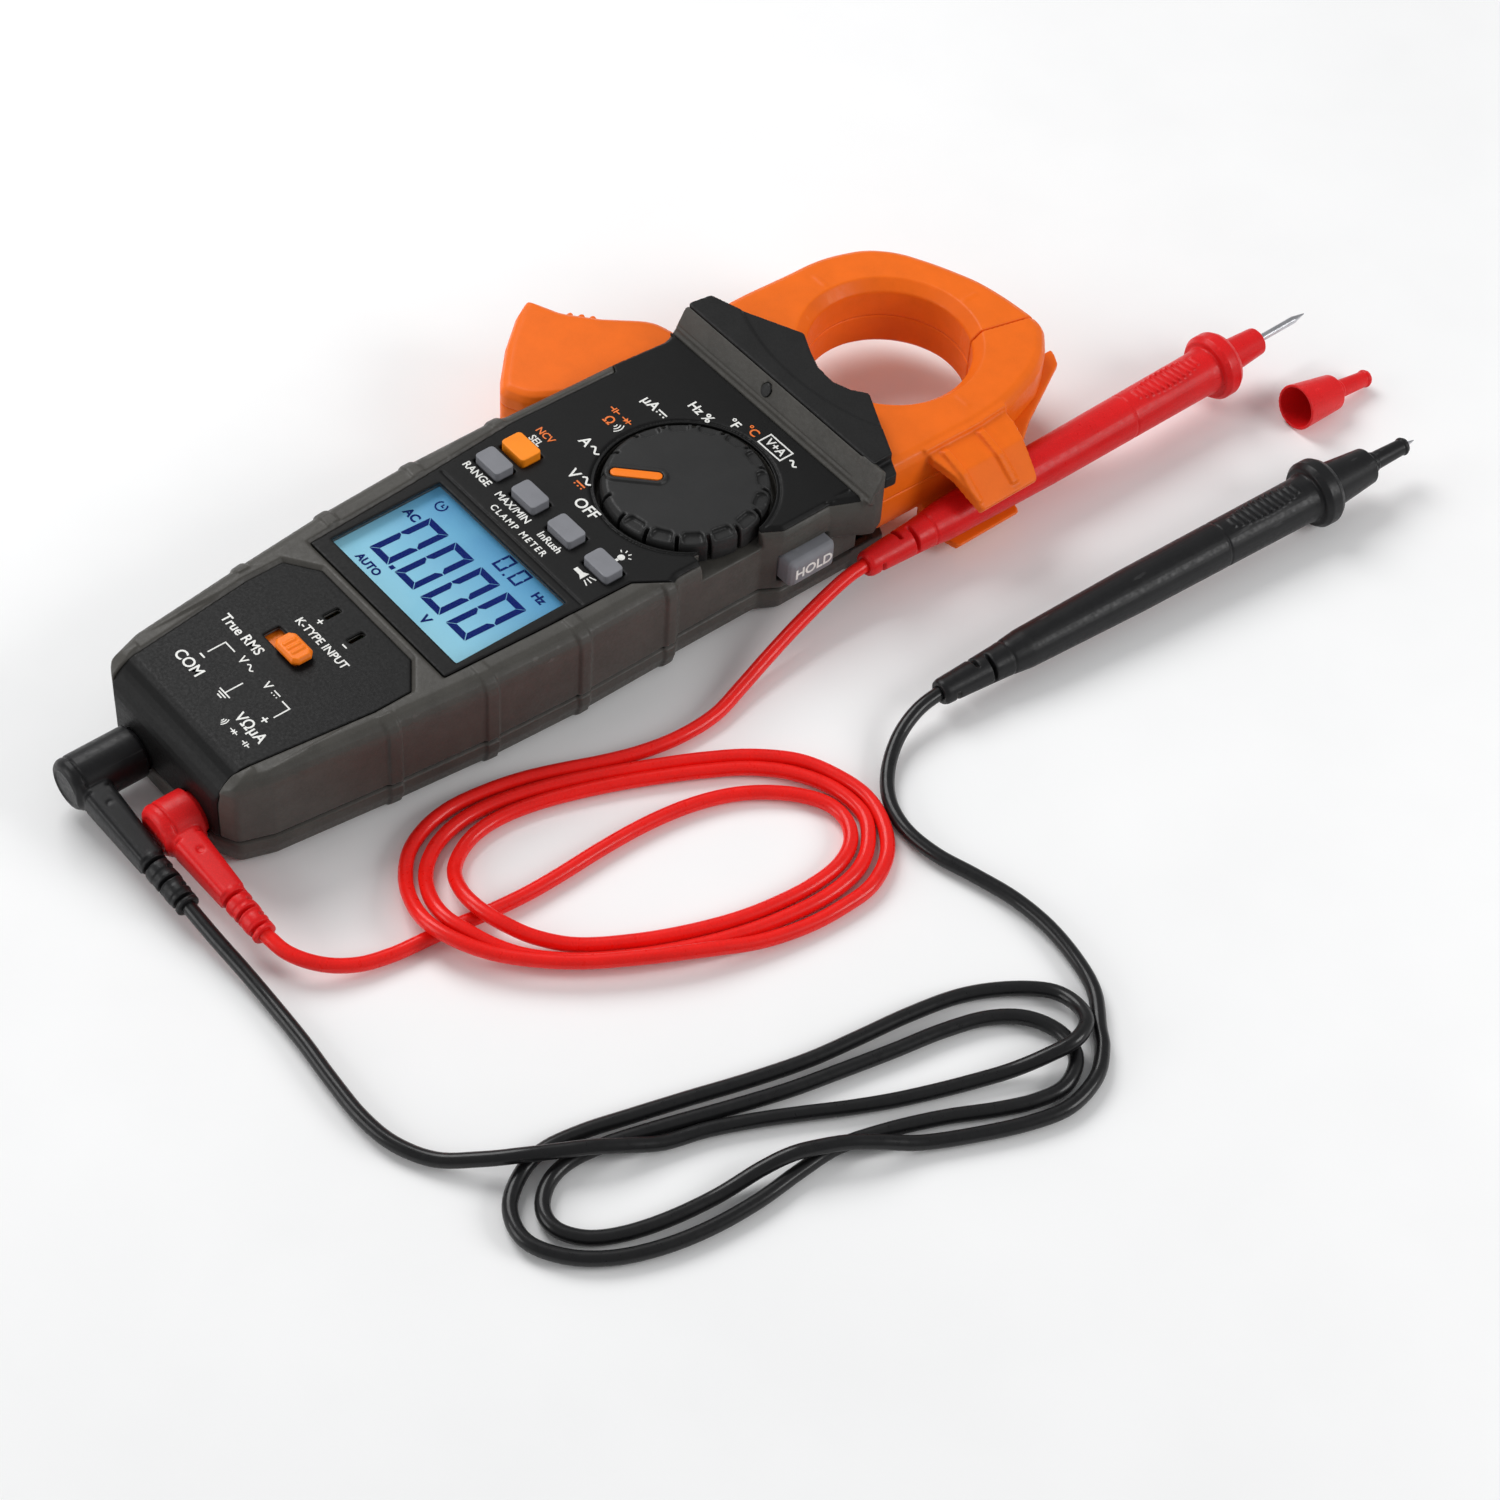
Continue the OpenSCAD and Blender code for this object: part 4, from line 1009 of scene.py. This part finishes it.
for word in (("RANGE", -22, 12.9, 2.1), ("MAX/MIN", -7.5, 12.9, 2.1), ("InRush", 7.2, 12.9, 2.1),
             ("SEL", -22.6, 31.4, 2.0), ("OFF", 3.4, 27, 3.1), ("V", -7.9, 31.8, 3.1),
             ("A", -15, 41.1, 3.0), ("µA", -16.2, 62.6, 2.9), ("Hz %", -6.2, 70.6, 2.7),
             ("°F", 1.9, 74.6, 2.7), ("V+A", 14.6, 77.6, 2.4)):
    label(*word)
label("CLAMP METER", -0.6, 9.3, 1.8, spread=1.35)
for word in (("NCV", -22.8, 34.5, 2.0), ("Ω", -17.6, 50.4, 2.6), ("°C", 6.7, 76.6, 2.5)):
    label(*word, orange)
for word in (("K-TYPE INPUT", 1.2, -49.4, 2.15), ("+", -4.6, -45.9, 2.3),
             ("−", 5.2, -45.9, 2.3), ("True RMS", -12.2, -62.6, 2.6),
             ("COM", -12.1, -77.4, 2.9), ("−", -12.2, -73.8, 2.6), ("VΩµA", 13, -77.4, 2.8),
             ("+", 12.9, -73.6, 2.6), ("V", -5.4, -67, 2.2), ("V", 4.6, -67, 2.2)):
    label(*word, z=panel)
signs(dc_sign(-4, 30.6, 3.2), orange)
signs(capacitor_sign(-19.4, 53.9, 1.7) + diode_sign(-14.8, 53.9, 1.7), orange)
for sign in (wave_sign(-4, 32.9, 3.4), wave_sign(-11.2, 41.1, 3.4), wave_sign(21.6, 77.4, 2.8),
             dc_sign(-11.6, 62.4, 3.2), sound_sign(-15.8, 50.6, 2.6)):
    signs(sign)
# Frame round V+A
signs(stroke([(14.6, 75.5), (18.8, 75.5), (18.8, 79.7), (10.4, 79.7), (10.4, 75.5),
              (14.5, 75.5)], 0.4))
# Lamp over the light button, torch under it
rays = [stroke([(21.4 + r * math.cos(a), 24 + r * math.sin(a)) for r in (1.5, 2.3)], 0.3)[0]
        for a in (math.radians(30 + 40 * k) for k in range(4))]
signs([circle((21.4, 23.6), 0.95, 16), *upright(21.4, 22.6, 21.9, 0.8), *rays])
torch = [[(17.6, 12.1), (19.9, 12.1), (21.2, 11.3), (21.2, 14.1), (19.9, 13.3), (17.6, 13.3)]]
for dy in (-1.1, 0, 1.1):
    torch += stroke([(22, 12.7 + dy * 0.7), (23.8, 12.7 + dy * 1.3)], 0.3)
signs(torch)
# Jack panel
signs(wave_sign(-2.3, -67, 2.6, 0.34) + dc_sign(8, -67, 2.4, 0.3), z=panel)
signs(stroke([(-12.4, -72), (-12.4, -67), (-8.6, -67)], 0.34)
      + stroke([(10.6, -67), (13.6, -67), (13.6, -71.4)], 0.34)
      + upright(0.6, -71, -76, 0.34)
      + [dash(-1.4 + k * 0.6, 2.6 - k * 0.6, -76 - k * 0.75, 0.34)[0] for k in range(3)],
      z=panel)
signs(sound_sign(6.6, -81, 1.8, 0.28) + diode_sign(11.6, -81, 1.3, 0.26)
      + capacitor_sign(16.4, -81, 1.3, 0.28), z=panel)
finish_piece(gathered("white_legends", white), "meter", slot="case_plastic", look=WHITE_INK)
finish_piece(gathered("orange_legends", orange), "meter", slot="orange_trim", look=ORANGE_INK)
hold = lettering("HOLD", (0, 0, 0), 3.0, 0.16, 0.03)
hold.name = "hold_legend"
hold.data.transform(Matrix.Translation(Vector((42.36, 67.7, 16.6)) * MM) @ TO_SIDE)
finish_piece(hold, "hold_button", slot="button_rubber", look=WHITE_INK)

# ---------------- plugs, probes and caps
JACK_X, JACK_Z = 12, 10
PLUG_STEM_Y, PLUG_END_Y, PLUG_FACE_Y = -99.6, -104.6, -94.3
BLACK_PLUG_OUT = 8.6


def make_plug(name, x, out, length, droop):
    """A shrouded right-angle plug: round barrel, flat-sided stem and slotted strain relief."""
    plug = cad_copy(name, name + "_body")
    end, stem_y = PLUG_END_Y - out, PLUG_STEM_Y - out
    seat = ((x, stem_y, JACK_Z), (0, 90 + droop, 0))
    # Domed end with a rim groove and an oval face
    dome = lathe([(0, end), (4.6, end), (5.9, end + 0.5), (6.55, end + 1.5), (6.7, end + 3),
                  (6.7, PLUG_FACE_Y), (0, PLUG_FACE_Y)])
    trim(plug, join(placed(dome, (x, 0, JACK_Z)),
                    block(x - 8, x + 8, PLUG_FACE_Y - 0.2, -70, 0, 20),
                    block(x + 5, x + 60, stem_y - 8, stem_y + 8, -5, 22)))
    cut(plug, placed(lathe([(0, -1), (4.7, -1), (4.3, 0.35), (0, 0.45)], 40), (x, end, JACK_Z)))
    cut(plug, placed(hoop(6.25, 7.4, 0, 0.3), (x, end + 3.1, JACK_Z)))
    # Flat-sided stem that narrows towards the relief
    wide, narrow, relief = 3.9, 3.15, length * 0.66
    start = rounded(rect(-wide, wide, -wide, wide), 2.2)
    finish = rounded(rect(-narrow, narrow, -narrow, narrow), 1.6)
    stem = loft([(start, 1), (start, 6), (finish, relief)])
    sleeve = loft([(circle((0, 0), 3.3, 32), relief - 0.5), (circle((0, 0), 2.8, 32), length)])
    join(plug, placed(stem, *seat), placed(sleeve, *seat))
    # Relief slots, cut from alternate sides
    pitch = (length - relief) / 5
    for k in range(5):
        z = relief + (k + 0.35) * pitch
        side = 1 if k % 2 else -1
        for shift in ((0, side * 5.1, 0), (side * 5.3, 0, 0)):
            cut(plug, placed(placed(block(-4, 4, -4, 4, z, z + 0.95), shift), *seat))
    cut(plug, placed(prism(circle((0, 0), 1.0, 20), 0, 1), (x + 12, stem_y, JACK_Z + 2.4)))
    # Crescent groove where the stem leaves the barrel
    collar = cut(prism(circle((0, 0), 6.2, 40), 6.6, 7.2), prism(circle((0, 0), 4.2, 40), 6, 8))
    cut(plug, placed(collar, *seat))
    cut(plug, placed(rod(2.03, stem_y - 0.02, PLUG_FACE_Y + 0.1, 32), (x, 0, JACK_Z)))
    return mould(plug, 0.24, 3, 0.3, name)


# Where each probe starts, and how it is turned
PROBES = {"red": ((46.5, 81, 12), (0, 0, 0)), "black": ((86, 71.4, 6.3), (1.4, 0, -4))}
RED_CAP_AT, RED_CAP_TURN = (67.2, 213.9, 6.3), (-7.6, 0, -2)
# How far up the black probe its cap's mouth sits
CAP_SEAT = 125.3


def make_probe(colour):
    """A probe handle: slotted relief, long taper, ribbed finger grip and rounded guard."""
    probe = cad_copy(colour + "_probe", colour + "_probe_handle")
    seat = PROBES[colour]
    for k in range(4):
        s = 3.2 + k * 3.6
        slot = placed(block(-1.1, 6, s, s + 1.1, -6, 6), (2.5 + 0.1 * k, 0, 0))
        cut(probe, placed(placed(slot, turn=(0, k * 90 + 45, 0)), *seat))
    # Oval pads with cross ribs on the upper and lower sides, before the guard
    for side in (1, -1):
        for k in range(12):
            s = 92 + k * 1.9
            across = 3.0 * math.sqrt(max(0.08, 1 - ((k - 5.5) / 6.6) ** 2))
            radius = 6 + 0.3 * (s - 60) / 56
            z0, z1 = sorted((side * (radius - 1.6), side * (radius + 0.28)))
            join(probe, placed(block(-across, across, s, s + 0.85, z0, z1), *seat))
    # Groove at the end of the relief, and another before the guard
    for s, radius in ((20.5, 4.6), (88.5, 6.2)):
        cut(probe, placed(hoop(radius - 0.3, radius + 2, s, 0.35), *seat))
    cut(probe, placed(rod(CORD_D / 2 + 0.04, -2, LEAD_IN_HANDLE + 0.5, 32), *seat))
    return mould(probe, 0.26, 3, 0.3, colour + "_probe")


def make_cap(name, body, at, turn):
    """A tip cap: bell mouth, cone and narrow tube, with two grip beads."""
    cap = cad_copy(name, name + "_sleeve")
    for s, radius in ((15.9, 2.75), (26.2, 2.45)):
        bead = lathe([(0, s - 0.6), (radius, s - 0.35), (radius, s + 0.35), (0, s + 0.6)], 32)
        join(cap, placed(cut(bead, rod(1.6, s - 2, s + 2, 32)), at, turn))
    mould(cap, 0.17, 2, 0.35, name, body)


# ---------------- cords
LEAD_IN_HANDLE, LEAD_STEP = 70, 7


def make_cord(name, points, colour):
    """A lead from its plug, over the table, and on up the inside of its probe's handle."""
    at, turn = PROBES[colour]
    ahead = spin(turn) @ Vector((0, LEAD_STEP, 0))
    inside = [Vector(at) + ahead * (k + 1) for k in range(LEAD_IN_HANDLE // LEAD_STEP)]
    route = smooth_route([*points, *inside])
    curve = bpy.data.curves.new(name, "CURVE")
    curve.dimensions = "3D"
    curve.bevel_depth = CORD_D / 2 * MM
    curve.bevel_resolution = 5
    curve.use_fill_caps = True
    spline = curve.splines.new("POLY")
    spline.points.add(len(route) - 1)
    for point, place in zip(spline.points, route):
        point.co = (*(place * MM), 1)
    spline.use_smooth = True
    cord = link(name, curve)
    finish_piece(cord, "meter", [colour + end for end in ("_cord_in", "_coil", "_cord_out")],
                 colour + "_lead")


# ---------------- build
red_plug = make_plug("red_plug", JACK_X, 0, 37, 4.6)
black_plug = make_plug("black_plug", -JACK_X, BLACK_PLUG_OUT, 43.2, 6)
red_probe = make_probe("red")
black_probe = make_probe("black")
make_cap("red_tip_cap", "meter", RED_CAP_AT, RED_CAP_TURN)
black_at, black_turn = PROBES["black"]
make_cap("black_tip_cap", "black_tip_cap",
         Vector(black_at) + spin(black_turn) @ Vector((0, CAP_SEAT, 0)), black_turn)
make_cord("red_cord", RED_ROUTE, "red")
make_cord("black_cord", BLACK_ROUTE, "black")

# CAD pieces that keep their own shape take their slot's material
for node, piece in frame["nodes"].items():
    piece.data.materials.clear()
    piece.data.materials.append(LOOKS[SLOT_OF[node]])

# ---------------- floor and light
FLOOR_Z = -0.36
corners = rect(-1500, 1700, -1500, 1700)
floor = new_piece("floor", [(x, y, FLOOR_Z) for x, y in corners], [(0, 1, 2, 3)])
floor.data.materials.append(plain("pale_floor", (60, 3), (0.93, 0.93, 0.93, 1),
                                  (0.96, 0.96, 0.96, 1), (3, 0.7, 0.8), (1.5, 3, 0.01)))
LIGHT_AIM = (30, 20, 0)


def soft_light(name, place, power, size):
    data = bpy.data.lights.new(name, "AREA")
    data.energy, data.shape, data.size = power, "DISK", size * MM
    light = link(name, data)
    light.location = Vector(place) * MM
    light.rotation_mode = "QUATERNION"
    light.rotation_quaternion = (Vector(LIGHT_AIM) - Vector(place)).to_track_quat("-Z", "Y")


soft_light("key", (-700, 50, 850), 7, 700)
soft_light("fill", (-350, -850, 350), 3, 600)
soft_light("side", (700, 500, 450), 3.2, 420)
world = bpy.data.worlds.new("studio")
world.use_nodes = True
world.node_tree.nodes["Background"].inputs["Color"].default_value = (0.94, 0.95, 0.96, 1)
world.node_tree.nodes["Background"].inputs["Strength"].default_value = 0.4
bpy.context.scene.world = world
bpy.context.scene.view_settings.view_transform = "Standard"
